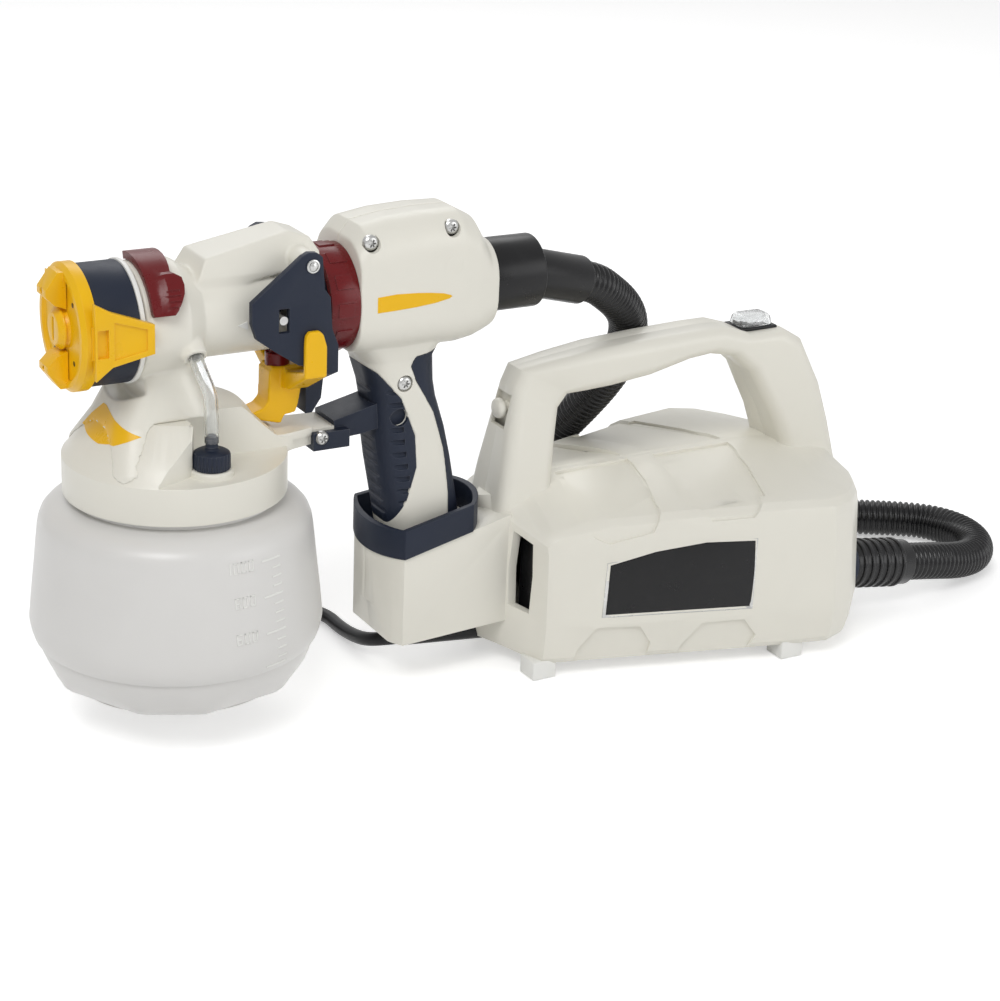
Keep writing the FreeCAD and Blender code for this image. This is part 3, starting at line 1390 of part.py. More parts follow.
def housing():
    body = base_outside()
    handle = carry_handle(0)
    outer = body.fuse([handle, holder_arm()])
    inner = base_inside().fuse([carry_handle(HANDLE_WALL)])
    shell = outer.cut(inner)
    bosses = [disc(x, -95, z, AXIS_Y, 4.6, 190).common(body) for x, z in housing_screw_places()]
    back = box(PEG_X + 3.2, PEG_X + 6.0, -20, 20, PEG_Z - 12, PEG_Z + 11).common(handle)
    shell = shell.fuse(bosses + [back])
    shell = shell.cut([holder_cavity(), holder_hollow(), holder_ring(), switch_pocket(), peg_recess()])
    shell = shell.cut(air_inlets() + [filter_opening()] + [box(x, x + FOOT_W, y, y + FOOT_W, 0, FOOT_H + 1.6)
                                                          for x, y in foot_places()])
    holes = [strain_relief(), disc(PEG_X - 8, 0, PEG_Z, AXIS_X, 2.5, 16)]
    way = connector_way()
    port = Vector(PORT_X, PORT_Y, PORT_Z)
    holes.append(Part.makeCylinder(PORT_R, 40, port - way * 14, way))
    for x, z in housing_screw_places():
        y = screw_depth(x)
        holes.append(disc(x, y, z, AXIS_Y, 3.2, 60))
        holes.append(disc(x, -12, z, AXIS_Y, 1.5, y + 13))
    shell = shell.cut(holes)
    shell = shell.cut([side_skin(name_plate_outline(), 1.0, -1)] + top_panels())
    return shell


def hanging_peg():
    z = PEG_Z
    ring = pipe(PEG_X + 1.2, 0, z, AXIS_X, 5.0, 2.5, 2.0)
    shaft = disc(PEG_X - 4, 0, z, AXIS_X, 2.5 - SEAT_FIT, 11)
    dome = Part.makeSphere(3.6, Vector(PEG_X - 5, 0, z))
    return fused([ring, shaft, dome])


# Switch

def switch_frame():
    gap = 0.05
    x1 = SWITCH_X + SWITCH_L - gap
    z = SWITCH_Z
    sill = box(SWITCH_X + gap, x1, gap - SWITCH_HALF_W, SWITCH_HALF_W - gap, z, z + 1.6)
    shaft = box(SWITCH_X + 1.6, x1 - 1.5, 1.3 - SWITCH_HALF_W, SWITCH_HALF_W - 1.3, z - 8, z)
    well = box(SWITCH_X + 3.2, x1 - 3.2, 2.6 - SWITCH_HALF_W, SWITCH_HALF_W - 2.6, z - 6, z + 5)
    return keep_solid(fused([sill, shaft]).cut(well))


def rocker():
    mid = SWITCH_X + SWITCH_L / 2
    z = SWITCH_Z
    outline = [(mid - 7.4, z - 1.5), (mid - 7.4, z + 3.4), (mid, z + 2.4), (mid + 7.4, z + 1.6), (mid + 7.4, z - 1.5)]
    key = plate_xz(outline, 3.2 - SWITCH_HALF_W, SWITCH_HALF_W - 3.2)
    pivot = disc(mid, 3.2 - SWITCH_HALF_W, z - 1.0, AXIS_Y, 1.5, 2 * SWITCH_HALF_W - 6.4)
    return fused([key, pivot])


def switch_cover():
    """Clear splash cover over the rocker."""
    mid = SWITCH_X + SWITCH_L / 2
    z = SWITCH_Z + 1.6
    def dome(grow, top):
        rows = [(0, 9.6 + grow, 6.4 + grow), (top - 1.6, 9.0 + grow, 5.9 + grow), (top, 7.6 + grow, 4.6 + grow)]
        return ruled([rounded(Vector(mid, 0, z + h), AXIS_X, AXIS_Y, a, b, 2.5) for h, a, b in rows])
    return dome(0.0, 5.6).cut(dome(-0.8, 4.8))


# Blower

def blower_ring(x, outer, inner, length):
    return pipe(x, 0, BLOWER_Z, AXIS_X, outer, inner, length)


def motor_stator():
    return blower_ring(STATOR_X0, STATOR_R, STATOR_BORE_R, STATOR_L)


def armature():
    return blower_ring(STATOR_X0 + 2, ARMATURE_R, SHAFT_R + SEAT_FIT, STATOR_L - 4)


def rotor_shaft():
    return disc(SHAFT_X0, 0, BLOWER_Z, AXIS_X, SHAFT_R, SHAFT_L)


def bearing_places():
    return [STATOR_X0 - MOUNT_T - 0.1, STATOR_X0 + STATOR_L + 0.1]


def bearings():
    return Part.makeCompound([blower_ring(x, BEARING_R, SHAFT_R + RUN_FIT, MOUNT_T) for x in bearing_places()])


def motor_mounts():
    """Two upright plates that carry the bearings and hold the stator by its ends."""
    plates = []
    floor_z = BASE_FLOOR_Z + BASE_WALL
    for x in bearing_places():
        plate = box(x, x + MOUNT_T, -24, 24, floor_z, BLOWER_Z + 12)
        plate = plate.fuse(disc(x, 0, BLOWER_Z, AXIS_X, 24, MOUNT_T))
        plate = plate.cut(disc(x - 1, 0, BLOWER_Z, AXIS_X, BEARING_R + SEAT_FIT, MOUNT_T + 2))
        for sign in (1, -1):
            plate = plate.cut(disc(x - 1, sign * 15, BLOWER_Z + 4, AXIS_X, 4.0, MOUNT_T + 2))
        plates.append(plate)
    return Part.makeCompound(plates)


def turbine_wheel():
    x = WHEEL_X0
    hub = blower_ring(x, 8.0, SHAFT_R + SEAT_FIT, WHEEL_L)
    back = blower_ring(x + WHEEL_L - 2.0, WHEEL_R, SHAFT_R + SEAT_FIT, 2.0)
    blades = []
    blade = box(x + 1, x + WHEEL_L - 1, -0.8, 0.8, BLOWER_Z + 7, BLOWER_Z + WHEEL_R - 0.5)
    for index in range(WHEEL_BLADES):
        turned = blade.copy()
        turned.rotate(Vector(0, 0, BLOWER_Z), AXIS_X, index * 360.0 / WHEEL_BLADES)
        blades.append(turned)
    return fused([hub, back] + blades)


def fan_housing():
    wall = SCROLL_WALL
    drum = disc(SCROLL_X0, 0, BLOWER_Z, AXIS_X, SCROLL_R, SCROLL_L)
    drum = drum.cut(disc(SCROLL_X0 + wall, 0, BLOWER_Z, AXIS_X, SCROLL_R - wall, SCROLL_L - 2 * wall))
    drum = drum.cut(disc(SCROLL_X0 - 1, 0, BLOWER_Z, AXIS_X, 18.0, wall + 2))
    drum = drum.cut(disc(SCROLL_X0 + SCROLL_L - wall - 1, 0, BLOWER_Z, AXIS_X, SHAFT_R + 1.5, wall + 2))
    start, _ = duct_ends()
    return drum.cut(Part.makeCylinder(6.8, 8, start - Vector(6, 0, 0), AXIS_X))


def duct_ends():
    start = Vector(SCROLL_X0 + SCROLL_L, -24.0, BLOWER_Z - 14.0)
    way = connector_way()
    end = Vector(PORT_X, PORT_Y, PORT_Z) - way * 14.5
    return start, end


def air_duct():
    start, end = duct_ends()
    circle_a = Part.Wire([Part.Circle(start, AXIS_X, 9.0).toShape()])
    circle_b = Part.Wire([Part.Circle(end, connector_way(), 10.5).toShape()])
    bore_a = Part.Wire([Part.Circle(start, AXIS_X, 7.4).toShape()])
    bore_b = Part.Wire([Part.Circle(end, connector_way(), 9.0).toShape()])
    return ruled([circle_a, circle_b]).cut(ruled([bore_a, bore_b]))


def air_port():
    way = connector_way()
    root = Vector(PORT_X, PORT_Y, PORT_Z) - way * 14
    tube = Part.makeCylinder(PORT_R - SEAT_FIT, 19.0, root, way)
    return tube.cut(Part.makeCylinder(HOSE_R - 1 + SEAT_FIT, 30, root - way * 5, way))


# Writing the pieces

def pieces():
    shell = gun_shell()
    base = housing()
    return {
        "air_cap": air_cap, "union_nut": union_nut, "seal_disc": seal_disc, "nozzle": nozzle,
        "needle": needle, "needle_spring": needle_spring,
        "needle_packing": needle_packing, "jet_width_lever": jet_width_lever, "front_body": front_body,
        "trigger_pin": trigger_pin, "flow_dial": flow_dial, "trigger_yoke": trigger_yoke,
        "trigger_blade": trigger_blade, "container": container, "container_lid": container_lid,
        "container_seal": container_seal, "suction_tube": suction_tube, "suction_strainer": suction_strainer,
        "vent_cap": vent_cap, "vent_tube": vent_tube, "front_grip": front_grip, "back_strip": back_strip,
        "gun_shell_left": lambda: side(shell, -1), "gun_shell_right": lambda: side(shell, 1),
        "gun_screws": gun_screws, "coupling_neck": coupling_neck, "coupling_ring": coupling_ring,
        "gun_air_tube": gun_air_tube, "guard_arm": guard_arm,
        "hose_socket": hose_socket, "hose_elbow": hose_elbow, "air_hose": air_hose,
        "hose_connector": hose_connector, "housing_left": lambda: side(base, -1),
        "housing_right": lambda: side(base, 1), "housing_screws": housing_screws, "holder_ring": holder_ring,
        "hanging_peg": hanging_peg, "name_plate": name_plate, "feet": feet, "filter_cover": filter_cover,
        "filter_foam": filter_foam, "switch_frame": switch_frame, "rocker": rocker, "switch_cover": switch_cover,
        "motor_stator": motor_stator, "armature": armature, "rotor_shaft": rotor_shaft, "bearings": bearings,
        "motor_mounts": motor_mounts, "turbine_wheel": turbine_wheel, "fan_housing": fan_housing,
        "air_duct": air_duct, "air_port": air_port, "strain_relief": strain_relief, "mains_cable": mains_cable,
        "cable_coil": cable_coil, "cable_tail": cable_tail, "plug": plug, "plug_pins": plug_pins,
    }


def write_all():
    os.makedirs("parts", exist_ok=True)
    for name, make in pieces().items():
        shape = make()
        shape.translate(Vector(-FRAME_X, 0, 0))
        if not shape.isValid():
            print(f"{name}: not a valid shape")
        shape.exportStep(os.path.join("parts", name + ".step"))


write_all()
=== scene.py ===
import json
import math

import bmesh
import bpy
from mathutils import Matrix, Vector
from mathutils.bvhtree import BVHTree


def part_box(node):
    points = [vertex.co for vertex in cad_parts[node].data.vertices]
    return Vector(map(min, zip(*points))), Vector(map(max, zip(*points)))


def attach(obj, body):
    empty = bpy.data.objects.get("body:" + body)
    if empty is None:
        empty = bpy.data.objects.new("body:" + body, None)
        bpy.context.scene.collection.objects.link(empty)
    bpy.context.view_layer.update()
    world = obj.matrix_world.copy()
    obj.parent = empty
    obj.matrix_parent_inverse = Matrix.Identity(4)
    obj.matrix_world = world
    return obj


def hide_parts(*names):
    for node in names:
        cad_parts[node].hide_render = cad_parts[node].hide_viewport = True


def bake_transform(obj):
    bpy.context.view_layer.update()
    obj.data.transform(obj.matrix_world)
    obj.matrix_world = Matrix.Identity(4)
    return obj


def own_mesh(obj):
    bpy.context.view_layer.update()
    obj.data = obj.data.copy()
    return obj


# Turbine paint sprayer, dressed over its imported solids. Sizes are written in millimetres in
# the drawing's own axes, with the paint cup's axis at X = 0 and the floor at Z = 0, and at()
# turns them into the model's metres.

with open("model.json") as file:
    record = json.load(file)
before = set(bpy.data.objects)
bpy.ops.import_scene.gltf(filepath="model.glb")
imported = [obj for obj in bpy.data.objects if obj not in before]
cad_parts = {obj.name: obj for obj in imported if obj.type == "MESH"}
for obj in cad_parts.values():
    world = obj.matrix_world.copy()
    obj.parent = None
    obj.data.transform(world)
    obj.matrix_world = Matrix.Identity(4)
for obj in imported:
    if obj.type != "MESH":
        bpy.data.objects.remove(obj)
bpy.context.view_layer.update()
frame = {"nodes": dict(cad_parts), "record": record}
CUP_LOW, CUP_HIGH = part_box("container")
CUP_AXIS_X = (CUP_LOW.x + CUP_HIGH.x) / 2

# Heights and radii shared with the solids
HOLDER_SEAT_Z = 50.0
AXIS_Z = HOLDER_SEAT_Z + 143.6
LID_TOP_Z = AXIS_Z - 61.6
HOSE_R = 10.0
CABLE_R = 3.5


def at(x, y, z):
    return Vector((CUP_AXIS_X + x / 1000, y / 1000, z / 1000))


def mm(value):
    return value / 1000


# Camera

CAMERA_PLACE = (-380.5, -941.6, 504.7)
CAMERA_RIGHT = (0.8701, -0.4914, 0.0383)
CAMERA_UP = (0.1480, 0.3347, 0.9307)
CAMERA_LENS = 85.87
PICTURE_SIDE = 36.0


def set_camera():
    data = bpy.data.cameras.new("camera")
    data.lens = CAMERA_LENS
    data.sensor_width = PICTURE_SIDE
    data.clip_start = 0.05
    data.clip_end = 50.0
    camera = bpy.data.objects.new("camera", data)
    bpy.context.scene.collection.objects.link(camera)
    right = Vector(CAMERA_RIGHT).normalized()
    up = Vector(CAMERA_UP)
    up = (up - right * up.dot(right)).normalized()
    back = right.cross(up)
    turn = Matrix((right, up, back)).transposed().to_4x4()
    camera.matrix_world = Matrix.Translation(at(*CAMERA_PLACE)) @ turn
    bpy.context.scene.camera = camera
    bpy.context.scene.view_settings.view_transform = "Standard"


# Materials

def nodes_of(name):
    material = bpy.data.materials.new(name)
    material.use_nodes = True
    tree = material.node_tree
    shader = tree.nodes["Principled BSDF"]
    return material, tree, shader


def add(tree, kind, **values):
    """A node with its inputs set by name, or joined where the value is a socket."""
    node = tree.nodes.new(kind)
    for key, value in values.items():
        if key.startswith("p_"):
            setattr(node, key[2:], value)
            continue
        socket = node.inputs[int(key[1:])] if key[0] == "i" and key[1:].isdigit() else node.inputs[key]
        if isinstance(value, bpy.types.NodeSocket):
            tree.links.new(value, socket)
        else:
            socket.default_value = value
    return node


def remap(tree, value, low, high, out_low, out_high):
    node = add(tree, "ShaderNodeMapRange", i0=value, i1=low, i2=high, i3=out_low, i4=out_high)
    return node.outputs[0]


def noise(tree, where, scale, detail=2.0, rough=0.5):
    node = add(tree, "ShaderNodeTexNoise", Vector=where, Scale=scale, Detail=detail, Roughness=rough)
    return node.outputs["Fac"]


def mixed(tree, share, colour_a, colour_b):
    node = tree.nodes.new("ShaderNodeMix")
    node.data_type = "RGBA"
    for index, value in ((0, share), (6, colour_a), (7, colour_b)):
        if isinstance(value, bpy.types.NodeSocket):
            tree.links.new(value, node.inputs[index])
        else:
            node.inputs[index].default_value = value
    return node.outputs[2]


def colour4(colour, factor=1.0):
    return tuple(min(1.0, c * factor) for c in colour) + (1.0,)


def edge_share(tree, width):
    """Near 1 where a rounded normal leaves the flat one: at the worn edges of a moulding."""
    bevel = add(tree, "ShaderNodeBevel", Radius=width)
    bevel.samples = 4
    flat = tree.nodes.new("ShaderNodeNewGeometry")
    dot = add(tree, "ShaderNodeVectorMath", p_operation="DOT_PRODUCT", i0=bevel.outputs[0])
    tree.links.new(flat.outputs["Normal"], dot.inputs[1])
    return remap(tree, dot.outputs["Value"], 0.98, 0.80, 0.0, 1.0)


def moulded(name, colour, rough=0.4, grain=1600.0, grain_depth=0.00004, tint=0.06, rough_span=0.12,
            edge=0.0, edge_width=0.0008, dust=0.0, shine=0.5):
    """Moulded plastic or painted metal: uneven tint, fine skin texture, worn or dusty places."""
    material, tree, shader = nodes_of(name)
    where = tree.nodes.new("ShaderNodeTexCoord").outputs["Object"]
    broad = noise(tree, where, 14.0, 3.0, 0.55)
    fine = noise(tree, where, grain, 2.0, 0.6)
    smear = noise(tree, where, 60.0, 5.0, 0.7)
    base = mixed(tree, remap(tree, broad, 0.3, 0.7, 0.0, 1.0),
                 colour4(colour, 1 - tint), colour4(colour, 1 + tint * 0.5))
    if edge > 0:
        worn = edge_share(tree, edge_width)
        share = add(tree, "ShaderNodeMath", p_operation="MULTIPLY", i0=worn, i1=edge)
        base = mixed(tree, share.outputs[0], base, colour4([c + (1 - c) * 0.35 for c in colour]))
    if dust > 0:
        spots = remap(tree, smear, 0.52, 0.75, 0.0, dust)
        base = mixed(tree, spots, base, colour4([c * 0.6 + 0.12 for c in colour]))
    tree.links.new(base, shader.inputs["Base Color"])
    roughness = remap(tree, smear, 0.3, 0.75, rough - rough_span / 2, rough + rough_span)
    tree.links.new(roughness, shader.inputs["Roughness"])
    bump = add(tree, "ShaderNodeBump", Strength=0.6, Distance=grain_depth, Height=fine)
    tree.links.new(bump.outputs[0], shader.inputs["Normal"])
    shader.inputs["Specular IOR Level"].default_value = shine
    return material


def clear_plastic(name, colour, rough, weight):
    """Plastic that lets light through: the switch's cover and the vent tube."""
    material, tree, shader = nodes_of(name)
    where = tree.nodes.new("ShaderNodeTexCoord").outputs["Object"]
    smear = noise(tree, where, 45.0, 4.0, 0.6)
    fine = noise(tree, where, 900.0, 2.0, 0.5)
    broad = noise(tree, where, 11.0, 2.0, 0.5)
    base = mixed(tree, remap(tree, broad, 0.3, 0.7, 0.0, 1.0), colour4(colour, 0.97), colour4(colour, 1.02))
    tree.links.new(base, shader.inputs["Base Color"])
    tree.links.new(remap(tree, smear, 0.3, 0.7, rough * 0.8, rough * 1.25), shader.inputs["Roughness"])
    bump = add(tree, "ShaderNodeBump", Strength=0.4, Distance=0.00004, Height=fine)
    tree.links.new(bump.outputs[0], shader.inputs["Normal"])
    shader.inputs["Transmission Weight"].default_value = weight
    shader.inputs["IOR"].default_value = 1.49
    return material


def metal(name, colour, rough=0.3, streak=900.0, dark=0.25):
    """Turned or drawn metal, with fine streaks and darker worn places."""
    material, tree, shader = nodes_of(name)
    where = tree.nodes.new("ShaderNodeTexCoord").outputs["Object"]
    smear = noise(tree, where, 120.0, 4.0, 0.6)
    fine = noise(tree, where, streak, 3.0, 0.6)
    base = mixed(tree, remap(tree, smear, 0.35, 0.75, 0.0, 1.0), colour4(colour), colour4(colour, 1 - dark))
    tree.links.new(base, shader.inputs["Base Color"])
    tree.links.new(remap(tree, smear, 0.3, 0.75, rough * 0.75, rough * 1.5), shader.inputs["Roughness"])
    bump = add(tree, "ShaderNodeBump", Strength=0.4, Distance=0.00002, Height=fine)
    tree.links.new(bump.outputs[0], shader.inputs["Normal"])
    shader.inputs["Metallic"].default_value = 1.0
    return material


def open_foam(name, colour):
    material, tree, shader = nodes_of(name)
    where = tree.nodes.new("ShaderNodeTexCoord").outputs["Object"]
    cells = add(tree, "ShaderNodeTexVoronoi", Vector=where, Scale=700.0).outputs["Distance"]
    # Darker towards each cell's middle, where the bump sinks: painted shade in the foam's pores.
    base = mixed(tree, remap(tree, cells, 0.1, 0.6, 0.0, 1.0), colour4(colour, 0.35), colour4(colour))
    tree.links.new(base, shader.inputs["Base Color"])
    bump = add(tree, "ShaderNodeBump", Strength=1.0, Distance=0.0008, Height=cells)
    tree.links.new(bump.outputs[0], shader.inputs["Normal"])
    shader.inputs["Roughness"].default_value = 0.95
    return material


CREAM = (0.80, 0.78, 0.70)
NAVY = (0.016, 0.022, 0.040)
YELLOW = (0.88, 0.50, 0.004)
RED = (0.14, 0.003, 0.005)
BLACK = (0.006, 0.006, 0.007)
SOOT = (0.008, 0.008, 0.009)
RUBBER = (0.012, 0.012, 0.013)
WHITE = (0.84, 0.84, 0.81)
CUP_MILK = (0.73, 0.72, 0.70)

FINISHES = {
    "cream": moulded("cream_plastic", CREAM, 0.34, 1500.0, 0.00003, 0.02, 0.10, 0.25, 0.0006, 0.04),
    "navy": moulded("navy_plastic", NAVY, 0.44, 2200.0, 0.00006, 0.12, 0.12, 0.20, 0.0006, 0.03, 0.25),
    "yellow": moulded("yellow_plastic", YELLOW, 0.30, 1500.0, 0.00002, 0.04, 0.10, 0.15, 0.0005, 0.02, 0.32),
    "red": moulded("red_plastic", RED, 0.27, 1500.0, 0.00002, 0.08, 0.10, 0.12, 0.0005, 0.0, 0.32),
    "cup": moulded("cup_polythene", CUP_MILK, 0.34, 1600.0, 0.00001, 0.03, 0.06, shine=0.6),
    "white": moulded("white_plastic", WHITE, 0.38, 1500.0, 0.00002, 0.02, 0.10, 0.0, 0.0005, 0.03),
    "clear": clear_plastic("clear_plastic", (0.93, 0.94, 0.94), 0.08, 0.94),
    "hose": moulded("hose_plastic", BLACK, 0.24, 1900.0, 0.00003, 0.15, 0.12, 0.20, 0.0005, 0.03, 0.40),
    "black": moulded("black_plastic", SOOT, 0.30, 1900.0, 0.00004, 0.15, 0.12, 0.15, 0.0005, 0.03, 0.30),
    "rubber": moulded("rubber", RUBBER, 0.62, 2600.0, 0.00008, 0.15, 0.12, 0.20, 0.0005, 0.10, 0.35),
    "foam": open_foam("filter_foam", (0.05, 0.05, 0.055)),
    "steel": metal("steel", (0.62, 0.62, 0.61), 0.28),
    "alu": metal("aluminium", (0.78, 0.78, 0.77), 0.36),
    "copper": metal("copper_wire", (0.72, 0.31, 0.16), 0.38, 1500.0, 0.4),
}


def give_finishes():
    """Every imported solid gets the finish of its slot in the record."""
    slots = {}
    for part in frame["record"]["subparts"]:
        slots[part["node"]] = part["material_slot"]
    for name, obj in frame["nodes"].items():
        finish = FINISHES.get(slots.get(name))
        for place in obj.material_slots:
            place.material = finish or FINISHES.get(place.material.name.split(".")[0], FINISHES["cream"])
        if not obj.material_slots:
            obj.data.materials.append(finish or FINISHES["cream"])


# Floor and light

FLOOR_REACH = 6.0
FLOOR_DROP = 0.0002
FLOOR_LIFT = 0.42
WORLD_LIGHT = 0.42


def seen_at_once(tree):
    """The light path node, and 1 for what the camera sees straight or through clear plastic."""
    path = tree.nodes.new("ShaderNodeLightPath")
    seen = add(tree, "ShaderNodeMath", p_operation="MAXIMUM", i0=path.outputs["Is Camera Ray"],
               i1=path.outputs["Is Transmission Ray"])
    return path, seen.outputs[0]


def make_floor():
    mesh = bpy.data.meshes.new("floor")
    corners = [(FLOOR_REACH * x, FLOOR_REACH * y, 0) for x, y in ((-1, -1), (1, -1), (1, 1), (-1, 1))]
    mesh.from_pydata(corners, [], [(0, 1, 2, 3)])
    floor = bpy.data.objects.new("floor", mesh)
    bpy.context.scene.collection.objects.link(floor)
    floor.location.z = -FLOOR_DROP
    material, tree, shader = nodes_of("floor")
    where = tree.nodes.new("ShaderNodeTexCoord").outputs["Object"]
    base = mixed(tree, noise(tree, where, 3.0), (0.93, 0.93, 0.93, 1), (0.95, 0.95, 0.95, 1))
    tree.links.new(base, shader.inputs["Base Color"])
    shader.inputs["Roughness"].default_value = 0.6
    shader.inputs["Specular IOR Level"].default_value = 0.1
    path, seen = seen_at_once(tree)
    seen = add(tree, "ShaderNodeMath", p_operation="MAXIMUM", i0=seen, i1=path.outputs["Is Glossy Ray"])
    lift = add(tree, "ShaderNodeMath", p_operation="MULTIPLY", i0=seen.outputs[0], i1=FLOOR_LIFT)
    shader.inputs["Emission Color"].default_value = (1, 1, 1, 1)
    tree.links.new(lift.outputs[0], shader.inputs["Emission Strength"])
    mesh.materials.append(material)


def make_world():
    world = bpy.data.worlds.new("studio")
    bpy.context.scene.world = world
    world.use_nodes = True
    tree = world.node_tree
    shader = tree.nodes["Background"]
    path, seen = seen_at_once(tree)
    half = add(tree, "ShaderNodeMath", p_operation="MULTIPLY", i0=path.outputs["Is Glossy Ray"], i1=0.5)
    seen = add(tree, "ShaderNodeMath", p_operation="MAXIMUM", i0=seen, i1=half.outputs[0])
    strength = remap(tree, seen.outputs[0], 0.0, 1.0, WORLD_LIGHT, 1.0)
    shader.inputs["Color"].default_value = (1, 1, 1, 1)
    tree.links.new(strength, shader.inputs["Strength"])


def area_light(name, place, target, size, power):
    data = bpy.data.lights.new(name, "AREA")
    data.shape = "RECTANGLE"
    data.size, data.size_y = size
    data.energy = power
    light = bpy.data.objects.new(name, data)
    bpy.context.scene.collection.objects.link(light)
    light.location = Vector(place)
    light.rotation_euler = (Vector(target) - Vector(place)).to_track_quat("-Z", "Y").to_euler()


def make_lights():
    target = (0.0, 0.0, 0.1)
    area_light("key", (-0.9, -0.9, 1.5), target, (0.9, 0.7), 13.0)
    area_light("fill", (1.2, -1.4, 0.7), target, (1.2, 1.0), 7.0)
    area_light("back", (0.4, 1.3, 1.3), target, (1.4, 0.8), 7.0)


# Meshes

SAME_PLACE = 0.000004


def keep_modifiers(piece):
    """The piece's mesh as its modifiers leave it."""
    graph = bpy.context.evaluated_depsgraph_get()
    made = bpy.data.meshes.new_from_object(piece.evaluated_get(graph), depsgraph=graph)
    old = piece.data
    piece.modifiers.clear()
    piece.data = made
    bpy.data.meshes.remove(old)


def solid_copy(node, flat_angle=0.0):
    """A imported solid's mesh without doubled points, and with flat faces joined if an angle is given."""
    shape = bmesh.new()
    shape.from_mesh(frame["nodes"][node].data)
    bmesh.ops.remove_doubles(shape, verts=shape.verts, dist=SAME_PLACE)
    bmesh.ops.dissolve_degenerate(shape, dist=SAME_PLACE, edges=shape.edges)
    if flat_angle:
        join_flats(shape, flat_angle)
    bmesh.ops.recalc_face_normals(shape, faces=shape.faces)
    return shape


def join_flats(shape, angle):
    bmesh.ops.dissolve_limit(shape, angle_limit=math.radians(angle), verts=shape.verts, edges=shape.edges)


def moulding(node, flat_angle):
    shape = solid_copy(node)
    join_flats(shape, flat_angle)
    return loose_piece(node + "_moulding", shape)


def loose_piece(name, shape):
    mesh = bpy.data.meshes.new(name)
    shape.to_mesh(mesh)
    shape.free()
    piece = bpy.data.objects.new(name, mesh)
    bpy.context.scene.collection.objects.link(piece)
    return piece


def boolean(piece, tool, operation="DIFFERENCE"):
    step = piece.modifiers.new("cut", "BOOLEAN")
    step.operation = operation
    step.object = tool
    step.solver = "EXACT"
    keep_modifiers(piece)
    drop(tool)


def drop(piece):
    mesh = piece.data
    bpy.data.objects.remove(piece)
    if mesh.users == 0:
        bpy.data.meshes.remove(mesh)


def skin_rings(shape, rings):
    """Faces from each ring of points to the next, and one over each end."""
    for low, high in zip(rings, rings[1:]):
        for k in range(len(low)):
            after = (k + 1) % len(low)
            shape.faces.new((low[k], low[after], high[after], high[k]))
    shape.faces.new(list(reversed(rings[0])))
    shape.faces.new(rings[-1])


def round_ring(shape, middle, across, side, radius, sides):
    ring = []
    for k in range(sides):
        angle = 2 * math.pi * k / sides
        ring.append(shape.verts.new(middle + (across * math.cos(angle) + side * math.sin(angle)) * radius))
    return ring


def moved(points, step):
    return [point + step for point in points]


def prism(name, low, high):
    """A solid between two outlines of as many points."""
    shape = bmesh.new()
    skin_rings(shape, [[shape.verts.new(p) for p in outline] for outline in (low, high)])
    bmesh.ops.recalc_face_normals(shape, faces=shape.faces)
    return loose_piece(name, shape)


def box_cutter(x0, x1, y0, y1, z0, z1):
    shape = bmesh.new()
    bmesh.ops.create_cube(shape, size=1.0)
    for vert in shape.verts:
        x, y, z = vert.co
        vert.co = at(x0 if x < 0 else x1, y0 if y < 0 else y1, z0 if z < 0 else z1)
    return loose_piece("cutter", shape)


def round_tool(start, end, radius, sides=40):
    """A round bar between two points."""
    shape = bmesh.new()
    way = (end - start).normalized()
    across = way.orthogonal().normalized()
    side = way.cross(across)
    skin_rings(shape, [round_ring(shape, point, across, side, mm(radius), sides) for point in (start, end)])
    bmesh.ops.recalc_face_normals(shape, faces=shape.faces)
    return loose_piece("cutter", shape)


def turned(name, start, way, profile, sides=56):
    """A turned form: profile points are (distance along the way, radius) in millimetres."""
    shape = bmesh.new()
    way = way.normalized()
    across = way.orthogonal().normalized()
    side = way.cross(across)
    skin_rings(shape, [round_ring(shape, start + way * mm(along), across, side, mm(max(radius, 0.01)), sides)
                       for along, radius in profile])
    bmesh.ops.recalc_face_normals(shape, faces=shape.faces)
    return loose_piece(name, shape)


def joined(name, pieces):
    shape = bmesh.new()
    for piece in pieces:
        shape.from_mesh(piece.data)
        drop(piece)
    return loose_piece(name, shape)


def melt(piece, voxel, passes, faces):
    """One skin with soft fillets at each edge and corner, as a deep moulding has."""
    step = piece.modifiers.new("skin", "REMESH")
    step.mode = "VOXEL"
    step.voxel_size = mm(voxel)
    soft = piece.modifiers.new("soft", "SMOOTH")
    soft.factor = 0.5
    soft.iterations = passes
    keep_modifiers(piece)
    count = len(piece.data.polygons)
    if count > faces:
        fewer = piece.modifiers.new("fewer", "DECIMATE")
        fewer.ratio = faces / count
        keep_modifiers(piece)


def round_edges(piece, width, segments=3, angle=30.0, corner="MITER_SHARP"):
    bevel = piece.modifiers.new("round", "BEVEL")
    bevel.width = mm(width)
    bevel.segments = segments
    bevel.limit_method = "ANGLE"
    bevel.angle_limit = math.radians(angle)
    bevel.use_clamp_overlap = True
    bevel.miter_outer = corner
    keep_modifiers(piece)


def finish_piece(piece, finish, body, nodes=(), sharp=40.0):
    """The piece's finish and shading, the body it rides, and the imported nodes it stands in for."""
    piece.data.materials.clear()
    piece.data.materials.append(FINISHES[finish])
    piece.data.shade_smooth()
    if sharp:
        piece.data.set_sharp_from_angle(angle=math.radians(sharp))
    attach(piece, body)
    if nodes:
        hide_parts(*nodes)


def dressed(node, body, finish, round_mm):
    """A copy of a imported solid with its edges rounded, as moulding leaves them."""
    piece = loose_piece(node + "_look", solid_copy(node, 0.6))
    round_edges(piece, round_mm, 3, 32.0, "MITER_ARC")
    finish_piece(piece, finish, body, [node], 40.0)


# Base

NEAR_SLOPE = 0.264
NEAR_START = 0.18


def side_point(x, z, sign):
    """A point of the plane along one side of the base."""
    return at(x, sign * (NEAR_SLOPE * x - NEAR_START), z)


